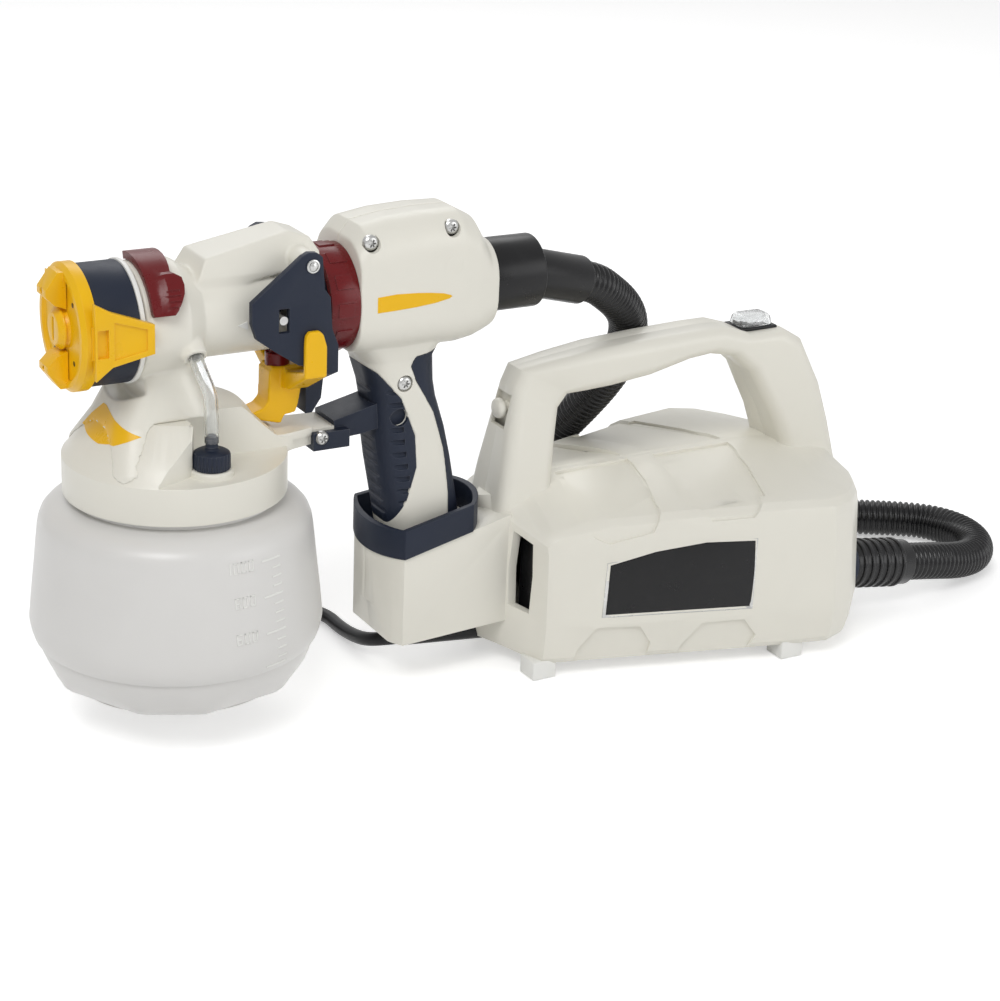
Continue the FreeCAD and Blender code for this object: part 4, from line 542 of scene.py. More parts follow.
def side_normal(sign):
    return Vector((-NEAR_SLOPE, sign, 0)).normalized()


def low_depth(z):
    """How far the side's surface with its recess lies behind the plane, near the foot."""
    return 1.2 + max(0.0, 28.0 - z) * 0.09


def base_rows():
    return [
        (0.6, 3, 3.5, 2, 80, 84, 10), (8, 20, 22, 20.5, 79, 86, 9), (16.3, 43, 45.3, 44, 72, 88, 8),
        (22, 45.5, 47.5, 46, 76, 90, 8), (48, 52, 54, 51.5, 81, 91, 8), (120, 71, 73, 69.5, 83, 91, 8),
        (161, 80.5, 83.6, 78, 82.5, 91, 8), (174, 75.5, 79.5, 73, 82, 90.5, 8), (186, 64, 67.5, 62, 81, 90, 8),
        (196, 47, 51, 45.5, 80, 88, 9), (203, 28, 31.5, 26, 77, 85, 12), (208, 6, 9, 5, 68, 74, 22),
    ]


BASE_X = 156.0
PANEL_DEPTH = 1.3


def base_hull(drop_by, in_by):
    """The base's outer form, lowered and narrowed: the floor of the recessed panels."""
    shape = bmesh.new()
    rings = []
    for x, foot_w, mid_w, rim_w, rim_z, ridge_z, foot_z in base_rows():
        half = [
            (foot_w - 1.5, foot_z), (foot_w + 0.5, foot_z + 3), (mid_w, foot_z + 20),
            (rim_w + 0.8, rim_z - 7), (rim_w - 0.6, rim_z - 2.5),
            (max(rim_w - 4.5, 0.75 * rim_w), rim_z + 0.4), (min(9.0, 0.6 * rim_w), ridge_z),
        ]
        half = [(max(y - in_by, 0.5), z - drop_by) for y, z in half]
        points = half + [(-y, z) for y, z in reversed(half)]
        rings.append([shape.verts.new(at(BASE_X + x, y, z)) for y, z in points])
    skin_rings(shape, rings)
    bmesh.ops.recalc_face_normals(shape, faces=shape.faces)
    return loose_piece("panel_floor", shape)


def panel_tools(sign):
    """What is cut from one side of the base: two shoulder panels and two low recesses."""
    tools = []
    out = side_normal(sign)
    for outline, low in (
        ([(196, 4), (241, 3), (237.5, 26), (231, 46), (227, 75), (192, 75), (188.5, 46), (190.5, 25)],
         [(193.6, 73.3), (201.7, 69.2), (223.2, 73.8), (229.7, 86.3), (233, 100), (187, 100)]),
        ([(255, 3), (302, 3), (297, 32), (288, 60), (280, 90), (243, 90), (243.5, 56), (251, 28)],
         [(242.5, 87.1), (252.2, 77.2), (273.1, 77.7), (281.8, 86.7), (290, 100), (241, 100)]),
    ):
        points = [at(x, sign * y, 64) for x, y in outline]
        panel = prism("panel_from_above", points, moved(points, Vector((0, 0, mm(40)))))
        points = [side_point(x, z, sign) for x, z in low]
        side = prism("panel_from_the_side", moved(points, out * mm(-90)), moved(points, out * mm(12)))
        boolean(panel, side, "INTERSECT")
        boolean(panel, base_hull(PANEL_DEPTH, PANEL_DEPTH))
        tools.append(panel)
    for outline in (
        [(186.0, 4), (187.8, 14.6), (196.8, 26.2), (218.5, 25.5), (224.5, 16.0), (222.5, 4)],
        [(237.5, 4), (239.8, 13.3), (249.7, 24.9), (270.9, 25.1), (277.6, 15.8), (272, 4)],
    ):
        points = [side_point(x, z, sign) for x, z in outline]
        floor = [p + out * -mm(low_depth(p.z * 1000)) for p in points]
        tools.append(prism("low_recess", floor, moved(points, out * mm(8))))
    return tools


def make_housing():
    for node, sign in (("housing_left", -1), ("housing_right", 1)):
        piece = moulding(node, 0.2)
        for tool in panel_tools(sign):
            boolean(piece, tool)
        round_edges(piece, 1.5, 3, 24.0)
        finish_piece(piece, "cream", "base", [node], 35.0)


# Hose and lead

def spline_through(name, points, radius=0.0):
    """A smooth line that the points steer: a NURBS spline of one open run."""
    data = bpy.data.curves.new(name, "CURVE")
    data.dimensions = "3D"
    data.resolution_u = 12
    data.bevel_depth = radius
    data.bevel_resolution = 5
    data.use_fill_caps = radius > 0
    run = data.splines.new("NURBS")
    run.points.add(len(points) - 1)
    for place, point in zip(run.points, points):
        place.co = (point[0], point[1], point[2], 1.0)
    run.order_u = 3
    run.use_endpoint_u = True
    curve = bpy.data.objects.new(name, data)
    bpy.context.scene.collection.objects.link(curve)
    return curve


def line_points(points, step):
    """Evenly spaced points read from the spline that the points steer."""
    curve = spline_through("line_for_reading", points)
    mesh = bpy.data.meshes.new_from_object(curve)
    read = [v.co.copy() for v in mesh.vertices]
    bpy.data.objects.remove(curve)
    bpy.data.meshes.remove(mesh)
    even = [read[0]]
    left = step
    for a, b in zip(read, read[1:]):
        run = (b - a).length
        done = 0.0
        while run - done >= left:
            done += left
            even.append(a.lerp(b, done / run))
            left = step
        left -= run - done
    if (even[-1] - read[-1]).length > step * 0.3:
        even.append(read[-1])
    return even


def swept(shape, points, radius_at, sides):
    """Rings along a line, with no twist from one to the next."""
    rings = []
    way = (points[1] - points[0]).normalized()
    across = way.orthogonal().normalized()
    gone = 0.0
    for index, point in enumerate(points):
        before = points[max(index - 1, 0)]
        after = points[min(index + 1, len(points) - 1)]
        new_way = (after - before).normalized()
        across = (across - new_way * across.dot(new_way)).normalized()
        side = new_way.cross(across)
        if index:
            gone += (point - points[index - 1]).length
        rings.append(round_ring(shape, point, across, side, radius_at(gone), sides))
    skin_rings(shape, rings)


HOSE_ROUTE = [
    (212, 5, 185), (221.6, 6.3, 182.4), (233, 11.5, 175), (245, 17, 166), (253.5, 22.5, 156),
    (258, 29, 144), (259.5, 38, 129), (257.5, 50, 112), (252.5, 63, 95), (247, 77, 78),
    (243.5, 90.5, 61), (244, 103.5, 45), (248.5, 116, 31), (257.5, 127, 20), (272, 135, 13),
    (292, 139.5, 10.6), (315, 138, 10.6),
    (340, 128, 10.6), (364, 109, 10.6), (384, 86, 10.6), (405, 64, 10.6), (430, 46.5, 10.6),
    (451.9, 33.9, 10.6), (465.8, 22.2, 10.6), (472, 5.1, 10.6), (468.9, -12.9, 10.6), (457.2, -26.8, 10.6),
    (440, -33.1, 12.6), (417.8, -38, 18.3), (396, -38, 21.5),
]
HOSE_RIB_PITCH = 3.1
HOSE_RIB_DEPTH = 1.5
HOSE_RIB_FULLNESS = 0.7
HOSE_SIDES = 28


def make_hose():
    """Ribbed air hose: round ribs with narrow grooves between them."""
    points = line_points([at(*p) for p in HOSE_ROUTE], mm(HOSE_RIB_PITCH / 6))
    pitch = mm(HOSE_RIB_PITCH)

    def radius(gone):
        share = (gone / pitch) % 1.0
        crest = abs(math.sin(math.pi * share)) ** HOSE_RIB_FULLNESS
        return mm(HOSE_R - HOSE_RIB_DEPTH) + mm(HOSE_RIB_DEPTH) * crest

    shape = bmesh.new()
    swept(shape, points, radius, HOSE_SIDES)
    hose = loose_piece("ribbed_hose", shape)
    hose.data.materials.append(FINISHES["hose"])
    hose.data.shade_smooth()
    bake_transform(hose)
    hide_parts("air_hose")


COIL_X = 60.0
COIL_Y = 137.6
COIL_IN_R = 24.5
COIL_PITCH = 7.5
COIL_TURNS = 3.5
COIL_LAYER = 7.6
COIL_WHOLE = 2 * COIL_TURNS + 0.5
COIL_STEPS = 20
TAIL_RUN = 39
TAIL_TURN = 17.0
PLUG_BACK = 22
PLUG_ASIDE = 3.078
PLUG_AXIS_Z = 13.0


def coil_point(turns):
    """A flat spiral inwards, and after a climb in its middle the same outwards on top."""
    middle = COIL_TURNS + 0.25
    radius = COIL_IN_R + COIL_PITCH * abs(turns - middle)
    angle = -math.pi / 2 - 2 * math.pi * turns
    climb = min(1.0, max(0.0, (turns - middle + 0.25) / 0.5))
    rise = COIL_LAYER * climb * climb * (3 - 2 * climb)
    return (COIL_X + radius * math.cos(angle), COIL_Y + radius * math.sin(angle), CABLE_R + rise)


def lead_route():
    """The mains lead from its relief: along the floor, round its coil, and back to the plug."""
    first = coil_point(0)
    last = coil_point(COIL_WHOLE)
    route = [
        (120, 6.5, 12), (112.6, 7.6, 12), (106.5, 16, 9.2), (105.8, 29, 6), (105.8, 45, 4),
        (first[0] + 46.8, first[1] - 22.8, CABLE_R), (first[0] + 38.2, first[1] - 8.4, CABLE_R),
        (first[0] + 23.7, first[1], CABLE_R), (first[0] + 7, first[1], CABLE_R),
    ]
    route += [coil_point(i / COIL_STEPS) for i in range(int(COIL_WHOLE * COIL_STEPS) + 1)]
    x, y = last[0] + 7, last[1]
    route.append((x, y, last[2]))
    x += TAIL_RUN
    route.append((x, y, last[2]))
    for index, height in enumerate((9.5, 8.0, 9.0, PLUG_AXIS_Z)):
        angle = math.radians(36 * (index + 1))
        x += TAIL_TURN * math.cos(angle)
        y += TAIL_TURN * math.sin(angle)
        route.append((x, y, height))
    route.append(plug_start())
    return route


def plug_start():
    last = coil_point(COIL_WHOLE)
    return (last[0] + 7 + PLUG_BACK, last[1] + TAIL_TURN * PLUG_ASIDE, PLUG_AXIS_Z)


def make_lead():
    route = [at(*p) for p in lead_route()]
    lead = spline_through("mains_lead", route, mm(CABLE_R))
    lead.data.materials.append(FINISHES["black"])
    read = line_points(route, mm(2))
    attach(lead, "base")
    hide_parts("mains_cable", "cable_coil", "cable_tail")


# Marks and mouldings that lie on a surface

def faces_of(piece):
    mesh = piece.data
    return BVHTree.FromPolygons([v.co.copy() for v in mesh.vertices],
                                [tuple(p.vertices) for p in mesh.polygons])


def laid_on(name, target, outlines, place, finish, body, lift, thick, cell):
    """Thin pieces that follow a surface: each point goes to it from its own start, its own way."""
    tree = faces_of(target)
    shape = bmesh.new()
    for outline in outlines:
        shape.faces.new([shape.verts.new((u, v, 0)) for u, v in outline])
    for axis, across in enumerate((Vector((1, 0, 0)), Vector((0, 1, 0)))):
        values = [v.co[axis] for v in shape.verts]
        line = math.ceil(min(values) / cell) * cell
        while line < max(values):
            everything = shape.verts[:] + shape.edges[:] + shape.faces[:]
            bmesh.ops.bisect_plane(shape, geom=everything, plane_co=across * line, plane_no=across)
            line += cell
    ways = {}
    missed = []
    for vert in shape.verts:
        start, way = place(vert.co.x, vert.co.y)
        hit = tree.ray_cast(start, way)
        if hit[0] is None:
            missed.append(vert)
            continue
        vert.co = hit[0] - way * mm(lift)
        ways[tuple(round(c, 7) for c in vert.co)] = way
    bmesh.ops.delete(shape, geom=missed, context="VERTS")
    made = bmesh.ops.extrude_face_region(shape, geom=shape.faces[:], use_keep_orig=True)
    for part in made["geom"]:
        if isinstance(part, bmesh.types.BMVert):
            way = ways.get(tuple(round(c, 7) for c in part.co), None)
            if way:
                part.co += way * mm(thick)
    bmesh.ops.recalc_face_normals(shape, faces=shape.faces)
    finish_piece(loose_piece(name, shape), finish, body, (), 38.0)


def from_side(near_y):
    return lambda u, v: (at(u, near_y, v), Vector((0, 1, 0)))


def from_around(start_r):
    """u is an angle in degrees from the near side towards the gun's handle, v a height."""
    def place(u, v):
        angle = math.radians(u - 90)
        out = Vector((math.cos(angle), math.sin(angle), 0))
        return at(start_r * out.x, start_r * out.y, v), -out
    return place


# Gun shell and its screws

SHELL_SCREWS = [(86.4, 222.2, -18.6), (127.8, 225.2, -17.2), (107.8, 151.9, -13.4)]
SOLID_SCREWS = [(87.5, 204.0, -18.0), (127.0, 208.5, -18.0), (105.5, 135.5, -10.8)]
SCREW_R = 3.6
GUARD_SCREW = (66.0, 131.0, -13.6)
GUARD_SCREW_R = 3.2
POCKET_R = 4.5


def make_gun_shell():
    """Both handle shells, the near one with its screws' pockets and its bare label."""
    for node in ("gun_shell_left", "gun_shell_right"):
        near = node == "gun_shell_left"
        shell = moulding(node, 0.4)
        if near:
            close_screw_pockets(shell)
        melt(shell, 0.5, 7, 60000)
        if near:
            near_shell = shell
            for x, z, seat in SHELL_SCREWS:
                boolean(shell, round_tool(at(x, seat, z), at(x, -40, z), SCREW_R + 0.45, 48))
        finish_piece(shell, "cream", "gun", [node], 50.0)
    sticker = [
        (88.3, 197.8), (98, 198.3), (108.7, 197.7), (116, 196.9), (122.2, 195.9), (126.0, 194.7),
        (127.0, 194.0), (125.5, 193.1), (118, 191.9), (108, 191.1), (98, 190.7), (88.3, 190.5),
    ]
    laid_on("shell_label", near_shell, [sticker], from_side(-60), "yellow", "gun", 0.16, 0.4, 2.0)


def close_screw_pockets(shell):
    """The solid's own pockets are closed flush, because the screws are seen elsewhere."""
    tree = faces_of(shell)
    out = Vector((0, 1, 0))
    for x, z, low in SOLID_SCREWS[:2]:
        heights = []
        for dx, dz in ((6, 0), (-6, 0), (0, 6), (0, -6)):
            hit = tree.ray_cast(at(x + dx, -60, z + dz), out)
            if hit[0] is not None:
                heights.append(hit[0].y * 1000)
        top = sum(heights) / len(heights)
        boolean(shell, round_tool(at(x, low, z), at(x, top, z), POCKET_R, 48), "UNION")


def make_screw_heads():
    """Bright domed heads with a star recess: the shell's three and the guard's."""
    heads = []
    way = Vector((0, -1, 0))
    for x, z, seat in SHELL_SCREWS + [GUARD_SCREW]:
        reach = GUARD_SCREW_R if (x, z, seat) == GUARD_SCREW else SCREW_R
        start = at(x, seat + 0.3, z)
        dome = [(0, reach), (1.7, reach), (2.5, reach - 0.5), (3.0, reach - 1.4), (3.1, 0)]
        head = turned("head", start, way, dome, 40)
        for turn in (0, 60, 120):
            angle = math.radians(turn)
            along = Vector((math.cos(angle), 0, math.sin(angle)))
            middle = start + way * mm(1.5)
            across = way.cross(along) * mm(0.4)
            outline = [middle + along * mm(1.9) + across, middle + along * mm(1.9) - across,
                       middle - along * mm(1.9) - across, middle - along * mm(1.9) + across]
            boolean(head, prism("slot", outline, moved(outline, way * mm(3))))
        heads.append(head)
    finish_piece(joined("screw_heads", heads), "steel", "gun", ["gun_screws"], 30.0)


# Lid, front body and the label across both

LABEL_WAY = Vector((0.9063, 0.4226, 0))


def make_lid():
    lid = moulding("container_lid", 0.4)
    open_vent_room(lid)
    round_edges(lid, 0.8)
    finish_piece(lid, "cream", "gun", ["container_lid"], 38.0)
    return lid


def make_front_body():
    body = moulding("front_body", 0.4)
    boolean(body, ledge_tool())
    melt(body, 0.6, 14, 70000)
    finish_piece(body, "cream", "gun", ["front_body"], 0)
    mark = [(21.8, 191.4), (26.2, 193.0), (26.6, 189.2)]
    laid_on("dial_mark", body, [mark], from_side(-60), "white", "gun", 0.5, 0.8, 1.5)
    return body


def make_lid_label(lid, body):
    """The bare yellow patch on the dome's front flank, as wide as a thumb."""
    both = bmesh.new()
    both.from_mesh(lid.data)
    both.from_mesh(body.data)
    skin = loose_piece("skin_under_label", both)
    outline = [
        (17.3, 155.4), (25.2, 148.9), (31.7, 142.2), (25.5, 142.4), (8.6, 141.7), (-2.2, 143.6),
        (-8.3, 146.2), (-12.0, 148.1), (-5.2, 150.4), (0.1, 152.2), (6.9, 153.6), (14.1, 155.5),
    ]

    def from_front(u, v):
        return at(-LABEL_WAY.y * u, LABEL_WAY.x * u, v) - LABEL_WAY * mm(70), LABEL_WAY

    laid_on("lid_label", skin, [outline], from_front, "yellow", "gun", 0.15, 0.5, 1.0)
    drop(skin)


# Cup

def digit_strokes(digit, x, z):
    """The strokes of one plain figure as upright rectangles."""
    width, height, stroke = 2.2, 4.8, 0.4
    half = height / 2
    bars = {
        "a": (x, z + height - stroke, x + width, z + height),
        "b": (x + width - stroke, z + half, x + width, z + height),
        "c": (x + width - stroke, z, x + width, z + half),
        "d": (x, z, x + width, z + stroke),
        "e": (x, z, x + stroke, z + half),
        "f": (x, z + half, x + stroke, z + height),
        "g": (x, z + half - stroke / 2, x + width, z + half + stroke / 2),
    }
    return [bars[key] for key in {"0": "abcdef", "1": "bc", "6": "afgedc", "8": "abcdefg"}[digit]]


CUP_OUTSIDE = [
    (0.0, 22.3), (49.5, 22.3), (52.0, 22.7), (55.0, 24.3), (57.6, 26.6), (59.6, 31.0), (61.4, 36.0),
    (62.6, 40.0), (62.9, 42.2), (62.9, 42.9), (64.3, 43.2), (65.2, 44.4), (66.2, 47.6), (66.9, 51.7),
    (66.6, 55.0), (65.8, 63.0), (64.8, 72.0), (63.8, 81.0), (62.9, 90.0), (62.2, 96.0), (61.6, 99.4),
    (60.4, 102.4), (58.2, 104.9), (55.0, 106.9), (51.0, 108.5), (46.6, 110.0), (46.4, 112.0),
    (46.4, 127.0),
]
CUP_WALL = 1.7
CUP_FACE_TURN = -25.0
CUP_STEPS = 240


def foot_reach(angle, height, reach):
    """The foot's ten upright facets, wide and narrow in turn, that fade out below its step."""
    depth = min(1.0, max(0.0, (41.0 - height) / 14.4))
    cut = reach
    for k in range(5):
        for middle, half in ((72.0 * k, 15.0), (72.0 * k + 36.0, 21.0)):
            off = (angle - CUP_FACE_TURN - middle + 180.0) % 360.0 - 180.0
            if abs(off) < 60:
                flat = (reach + 0.4) * (1 - depth * (1 - math.cos(math.radians(half))))
                cut = min(cut, flat / math.cos(math.radians(off)))
    return cut


def make_cup():
    """Blow-moulded cup: a round shoulder, a belly, and a stepped foot with upright facets."""
    shape = bmesh.new()
    inside = [(max(0.0, r - CUP_WALL), z + (CUP_WALL if z < 26 else 0.0))
              for r, z in reversed(CUP_OUTSIDE)]
    rings = []
    for run, outer in ((CUP_OUTSIDE, True), (inside, False)):
        for r, z in run:
            if r == 0.0:
                rings.append([shape.verts.new(at(0, 0, z))])
                continue
            ring = []
            for k in range(CUP_STEPS):
                turn = 360.0 * k / CUP_STEPS
                reach = foot_reach(turn, z, r) if outer and 22.5 < z < 41 else r
                if not outer and z < 43:
                    reach = r - 2.6 * min(1.0, (43 - z) / 14)
                angle = math.radians(turn - 90)
                ring.append(shape.verts.new(at(reach * math.cos(angle), reach * math.sin(angle), z)))
            rings.append(ring)
    for low, high in zip(rings, rings[1:]):
        if len(low) == 1 and len(high) == 1:
            continue
        for k in range(CUP_STEPS):
            after = (k + 1) % CUP_STEPS
            if len(low) == 1:
                shape.faces.new((low[0], high[k], high[after]))
            elif len(high) == 1:
                shape.faces.new((low[k], low[after], high[0]))
            else:
                shape.faces.new((low[k], low[after], high[after], high[k]))
    bmesh.ops.recalc_face_normals(shape, faces=shape.faces)
    cup = loose_piece("container_moulding", shape)
    finish_piece(cup, "cup", "paint_cup", ["container"], 24.0)
    bars = []
    for index, top in enumerate((96.0, 79.3, 62.6, 46.5)):
        bars.append((14.5, top - 0.35, 24.5, top + 0.35))
        if index < 3:
            for step in (1, 2, 3):
                low = top - 4.18 * step
                bars.append((19.5, low - 0.3, 24.3, low + 0.3))
    for number, height in (("1000", 93.2), ("800", 77.2), ("600", 60.6)):
        for place, digit in enumerate(number):
            bars += digit_strokes(digit, 11.4 - 3.4 * (len(number) - place), height)
    outlines = [[(x0, z0), (x1, z0), (x1, z1), (x0, z1)] for x0, z0, x1, z1 in bars]
    # The scale's strokes are embossed in the cup's own plastic; their whiter finish is a painted highlight
    # where light catches the raised strokes.
    laid_on("cup_marks_painted_light", cup, outlines, from_around(90), "white", "paint_cup", 0.3, 0.8, 3.0)


# Vent

UP = Vector((0, 0, 1))
LEDGE_Z = 130.2
VENT_PLACE = (3.0, -35.0)
KNURLS = 24
KNURL_DEPTH = 0.45


def ledge_tool():
    """The room beside the dome in which the vent cap stands."""
    points = [at(x, y, LEDGE_Z) for x, y in (
        (-30, -70), (-25, -42.5), (-14, -38.5), (-6.0, -34.5), (-3.4, -30), (-3.4, -15), (3, -12.6),
        (16, -14.5), (30, -15.6), (60, -15.6), (60, -70),
    )]
    return prism("ledge", points, moved(points, UP * mm(22)))


def dome_filler():
    """Inside of the dome where the ledge's wall runs, so that the wall is closed."""
    low = 128.2
    dome = turned("dome", at(0, 0, low), UP, [
        (0, 49.5), (1.8, 49.5), (LID_TOP_Z + 4.8 - low, 44.5), (LID_TOP_Z + 19.6 - low, 30),
        (LID_TOP_Z + 19.7 - low, 0),
    ])
    boolean(dome, box_cutter(-20, 49, -49, -11.5, 128.4, 151.4), "INTERSECT")
    return dome


def open_vent_room(lid):
    boolean(lid, dome_filler(), "UNION")
    boolean(lid, ledge_tool())
    x, y = VENT_PLACE
    boss = turned("boss", at(x, y, 128.6), UP, [(0, 9.9), (3.6, 9.6), (4.4, 8.8), (4.5, 0)])
    boolean(lid, boss, "UNION")
    web = [(30, -10), (30, -15.4), (40, -15.4), (48, -15.0), (62, -12.2), (62, -6), (46, -6)]
    points = [at(px, py, 134.6) for px, py in web]
    boolean(lid, prism("flare", moved(points, UP * -mm(2.4)), moved(points, UP * mm(1.2))), "UNION")


def make_vent():
    """Knurled cap with a stepped barb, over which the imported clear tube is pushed."""
    x, y = VENT_PLACE
    foot = 133.1
    cap = turned("vent_cap_look", at(x, y, foot), UP, [
        (0, 7.8), (0.5, 8.25), (1.2, 8.3), (6.4, 8.3), (7.4, 7.9), (8.2, 6.6), (8.6, 4.4), (8.8, 3.4),
        (9.4, 2.75), (9.9, 2.3), (10.0, 3.0), (11.6, 2.3), (11.7, 3.0), (13.3, 2.3), (13.4, 2.9),
        (15.4, 1.9), (15.5, 1.0),
    ], 96)
    middle = at(x, y, 0)
    for vert in cap.data.vertices:
        height = vert.co.z * 1000 - foot
        out = Vector((vert.co.x - middle.x, vert.co.y - middle.y, 0))
        if 0.4 < height < 6.6 and out.length > mm(7):
            angle = math.atan2(out.y, out.x)
            if math.cos(angle * KNURLS) < -0.2:
                vert.co -= out.normalized() * mm(KNURL_DEPTH)
    finish_piece(cap, "navy", "gun", ["vent_cap"], 30.0)


# Trigger

HEEL_HALF = 6.3
PIN_X = 54.0
PIN_Z = AXIS_Z + 23.6


def make_blade():
    """The blade, cut to the heel's width, with the heel added, as one soft skin."""
    blade = moulding("trigger_blade", 0.3)
    for low, high in ((-13, -HEEL_HALF), (HEEL_HALF, 13)):
        boolean(blade, box_cutter(30, 49.3, low, high, 130, 175))
        boolean(blade, box_cutter(49.0, 64, low, high, 130, 155.2))
    points = [at(x, -HEEL_HALF, z) for x, z in (
        (44.5, 140.0), (47.0, 138.2), (49.4, 138.0), (51.0, 141.6), (56.4, 142.2), (57.8, 146),
        (60.0, 158), (60.2, 165), (44.5, 165),
    )]
    boolean(blade, prism("heel", points, moved(points, Vector((0, mm(2 * HEEL_HALF), 0)))), "UNION")
    melt(blade, 0.42, 16, 30000)
    finish_piece(blade, "yellow", "trigger", ["trigger_blade"], 0)


def make_pin():
    """Pivot pin: a domed head in a washer at each cheek, and its shaft."""
    heads = []
    for sign in (-1, 1):
        start = at(PIN_X, sign * 28.4, PIN_Z)
        way = Vector((0, sign, 0))
        washer = [(0, 3.1), (0.7, 3.1), (0.9, 2.8), (0.9, 2.3), (0.5, 2.1), (0.5, 0)]
        heads.append(turned("washer", start, way, washer))
        heads.append(turned("dome", start, way, [(0.3, 1.9), (1.0, 1.8), (1.4, 1.2), (1.6, 0.0)]))
    heads.append(round_tool(at(PIN_X, -28.6, PIN_Z), at(PIN_X, 28.6, PIN_Z), 2.5))
    finish_piece(joined("pivot_pin_look", heads), "steel", "trigger", ["trigger_pin"], 35.0)


# Grip ridges

GRIP_RIDGES = 11
GRIP_LOW_Z = 86.0
GRIP_STEP = 6.2


def make_front_grip():
    """The soft front grip: folds across its front edge that run out along its sides."""
    grip = moulding("front_grip", 0.4)
    tree = faces_of(grip)
    x, z, low = SOLID_SCREWS[2]
    beside = tree.ray_cast(at(x - 6.5, -60, z), Vector((0, 1, 0)))
    top = beside[0].y * 1000 if beside[0] is not None else -15.0
    boolean(grip, round_tool(at(x, low, z), at(x, top + 0.2, z), POCKET_R, 48), "UNION")
    front_bars = []
    side_bars = {-1: [], 1: []}
    for k in range(GRIP_RIDGES):
        z = GRIP_LOW_Z + GRIP_STEP * k
        hit = tree.ray_cast(at(60, 0, z), Vector((1, 0, 0)))
        if hit[0] is None:
            continue
        front = hit[0].x
        middle = Vector((front - mm(1.1), 0, mm(z)))
        reach = Vector((0, mm(17), 0))
        front_bars.append(round_tool(middle - reach, middle + reach, 1.75, 20))
        for sign in (-1, 1):
            inner = tree.ray_cast(Vector((front + mm(6.0), sign * mm(40), mm(z))), Vector((0, -sign, 0)))
            if inner[0] is None:
                continue
            wall = abs(inner[0].y)
            start = Vector((front - mm(2), sign * (wall + mm(0.35)), mm(z)))
            end = Vector((front + mm(12.5), sign * (wall + mm(1.5)), mm(z)))
            side_bars[sign].append(round_tool(start, end, 1.35, 16))
    boolean(grip, joined("folds", front_bars))
    for sign in (-1, 1):
        boolean(grip, joined("folds", side_bars[sign]))
    round_edges(grip, 0.45, 2, 28.0)
    finish_piece(grip, "navy", "gun", ["front_grip"], 50.0)


# Air cap

def make_air_cap():
    """The cap with recessed ears, a slotted boss over the nozzle, and black plugs in its jets and in the
    boss's slot: painted shade for the insides of the holes.
    """
    z = AXIS_Z
    cap = moulding("air_cap", 0.3)
    for y0, y1 in ((-32, -30.1), (30.1, 32)):
        recess = [(-39.0, z - 7.4), (-24.2, z - 4.7), (-24.2, z + 4.7), (-39.0, z + 9.4)]
        points = [at(x, y0, h) for x, h in recess]
        boolean(cap, prism("recess", points, moved(points, Vector((0, mm(y1 - y0), 0)))))
    round_edges(cap, 0.7, 3, 28.0)
    boss = turned("boss", at(-52.3, 0, z), Vector((-1, 0, 0)),
                  [(0, 9.4), (0.8, 9.2), (2.2, 7.6), (2.9, 6.9), (3.0, 0)])
    boolean(boss, box_cutter(-56.5, -53.9, -1.0, 1.0, z - 5.2, z + 5.2))
    round_edges(boss, 0.35, 2, 28.0)
    inner = [box_cutter(-48.3, -41.2, y0, y1, z - 7.0, z + 7.6) for y0, y1 in ((-29.0, -28.3), (28.3, 29.0))]
    finish_piece(joined("air_cap_look", [cap, boss] + inner), "yellow", "spray_cap", ["air_cap"], 38.0)
    # Thin black discs at the jets and a black strip at the bottom of the boss's slot: painted shade, not parts
    # of the cap.
    jet_shade_plugs = []
    for height in (z + 13.0, z - 13.0):
        for y in (-12.0, 12.0):
            jet_shade_plugs.append(round_tool(at(-50.46, y, height), at(-50.1, y, height), 1.2, 24))
    jet_shade_plugs.append(box_cutter(-54.0, -53.7, -0.7, 0.7, z - 4.6, z + 4.6))
    finish_piece(joined("air_cap_jet_shade", jet_shade_plugs), "black", "spray_cap", (), 30.0)


# Marks of the base, and painted shade behind its inlets

def make_plate_edge_and_inlet_shade(near):
    """A bright edge round the bare plate, and black sheets behind the air inlets: painted shade for the dark
    inside seen through them.
    """
    outer = [(201.0, 59.8), (275.6, 67.4), (274.4, 30.8), (199.2, 31.6)]
    inner = [(202.6, 58.3), (274.2, 65.8), (273.0, 32.1), (200.8, 32.9)]
    rails = [[outer[k], outer[(k + 1) % 4], inner[(k + 1) % 4], inner[k]] for k in range(4)]
    laid_on("plate_edge", near, rails, from_side(-120), "steel", "base", 0.25, 0.6, 12.0)
    # Black sheets just inside the base's front wall: painted shade, where the inside behind the inlets is
    # dark.
    inlet_shade_sheets = [box_cutter(172.5, 173.5, y0, y1, 29, 70) for y0, y1 in ((-37, -18), (18, 37))]
    finish_piece(joined("inlet_painted_shade", inlet_shade_sheets), "black", "base", (), 30.0)


# Width lever

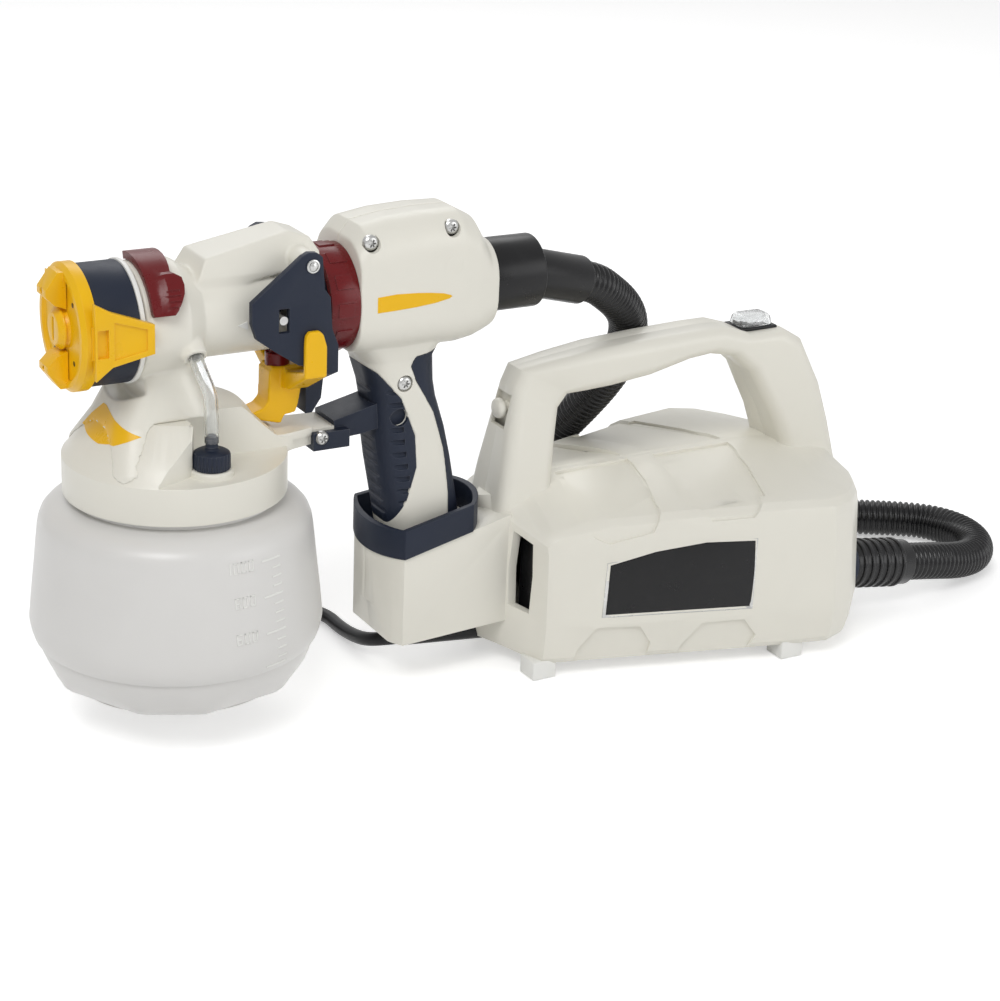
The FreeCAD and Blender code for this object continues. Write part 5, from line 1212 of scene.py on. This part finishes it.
def make_lever():
    """Red lever: an arc over the chamber that ends in a tab with four grip lines."""
    reach_in, reach_out = 26.4, 29.9
    steps = 6

    def around(x, r, angle):
        return at(x, -r * math.cos(angle), AXIS_Z + r * math.sin(angle))

    shape = bmesh.new()
    edge = [(90 + 3 * k, -20.3, -6.5) for k in (5, 4, 3, 2, 1)] + [
        (90, -20.3, -6.5), (80, -20.3, -6.6), (70, -20.3, -7.0), (62, -20.3, -7.6), (56, -20.3, -8.2),
        (51, -20.3, -7.5), (47, -20.3, -4.8), (40, -20.3, -4.6), (33, -20.3, -5.4), (26, -20.3, -7.4),
        (20, -20.2, -9.6), (17, -19.6, -11.2),
    ]
    rows = []
    for angle, x0, x1 in edge:
        row = []
        swell = 2.0 if angle < 52 else 0.0
        for k in range(steps + 1):
            x = x0 + (x1 - x0) * k / steps
            lift = swell * min(1.0, max(0.0, (x + 16.0) / 3.0))
            row.append((x, reach_out + lift, math.radians(angle)))
        rows.append(row)
    outer = [[shape.verts.new(around(x, r, a)) for x, r, a in row] for row in rows]
    inner = [[shape.verts.new(around(x, reach_in, a)) for x, r, a in row] for row in rows]
    count = len(rows[0])
    for i in range(len(rows) - 1):
        for k in range(count - 1):
            shape.faces.new((outer[i][k], outer[i][k + 1], outer[i + 1][k + 1], outer[i + 1][k]))
            shape.faces.new((inner[i][k], inner[i + 1][k], inner[i + 1][k + 1], inner[i][k + 1]))
        shape.faces.new((outer[i][0], outer[i + 1][0], inner[i + 1][0], inner[i][0]))
        shape.faces.new((outer[i][-1], inner[i][-1], inner[i + 1][-1], outer[i + 1][-1]))
    for i in (0, len(rows) - 1):
        for k in range(count - 1):
            shape.faces.new((outer[i][k], inner[i][k], inner[i][k + 1], outer[i][k + 1]))
    bmesh.ops.recalc_face_normals(shape, faces=shape.faces)
    lever = loose_piece("width_lever_look", shape)
    lines = []
    for angle in (36, 31.5, 27, 22.5):
        middle = around(-11.0, reach_out + 2.0, math.radians(angle))
        lines.append(round_tool(middle - Vector((mm(4.2), 0, 0)), middle + Vector((mm(3.6), 0, 0)), 0.45, 12))
    boolean(lever, joined("grip_lines", lines))
    round_edges(lever, 0.7, 3, 28.0)
    finish_piece(lever, "red", "width_lever", ["jet_width_lever"], 38.0)


# Hanging peg

def make_peg():
    """A round knob on a short neck inside its recess."""
    peg = turned("peg_look", at(175.6, 0, 127.0), Vector((-1, 0, 0)), [
        (0, 3.4), (4.0, 3.2), (6.0, 3.4), (6.6, 4.6), (7.4, 5.0), (9.0, 5.0), (10.0, 4.6), (10.8, 3.4),
        (11.2, 1.6), (11.3, 0),
    ], 40)
    finish_piece(peg, "cream", "base", ["hanging_peg"])


# Everything together

def dress_solids():
    """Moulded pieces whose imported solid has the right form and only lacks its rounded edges."""
    for node, body, finish, round_mm in (
        ("holder_ring", "base", "navy", 0.4), ("name_plate", "base", "black", 0.3),
        ("feet", "base", "white", 0.8),
        ("switch_frame", "base", "black", 0.8), ("rocker", "switch_rocker", "black", 0.6),
        ("switch_cover", "base", "clear", 0.8), ("hose_connector", "base", "hose", 0.6),
        ("strain_relief", "base", "black", 0.3), ("plug", "base", "black", 1.5),
        ("back_strip", "gun", "navy", 0.7), ("guard_arm", "gun", "navy", 0.6),
        ("hose_socket", "gun", "black", 0.8), ("hose_elbow", "gun", "black", 0.5),
        ("union_nut", "gun", "navy", 0.6), ("seal_disc", "gun", "white", 0.3),
        ("coupling_ring", "lock_ring", "red", 0.5), ("flow_dial", "paint_dial", "red", 0.6),
        ("trigger_yoke", "trigger", "navy", 0.8),
    ):
        dressed(node, body, finish, round_mm)


def soften_spring():
    """The needle's spring: a copy of its solid in steel, with a mesh of its own."""
    spring = loose_piece("needle_spring_look", solid_copy("needle_spring"))
    finish_piece(spring, "steel", "gun", ["needle_spring"])
    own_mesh(spring)


def make_details():
    make_gun_shell()
    lid = make_lid()
    make_vent()
    make_lid_label(lid, make_front_body())
    make_screw_heads()
    make_lever()
    make_peg()
    make_cup()
    make_blade()
    make_pin()
    soften_spring()
    make_front_grip()
    make_air_cap()
    make_plate_edge_and_inlet_shade(bpy.data.objects["housing_left_moulding"])


set_camera()
make_hose()
give_finishes()
dress_solids()
make_housing()
make_details()
make_lead()
make_floor()
make_world()
make_lights()
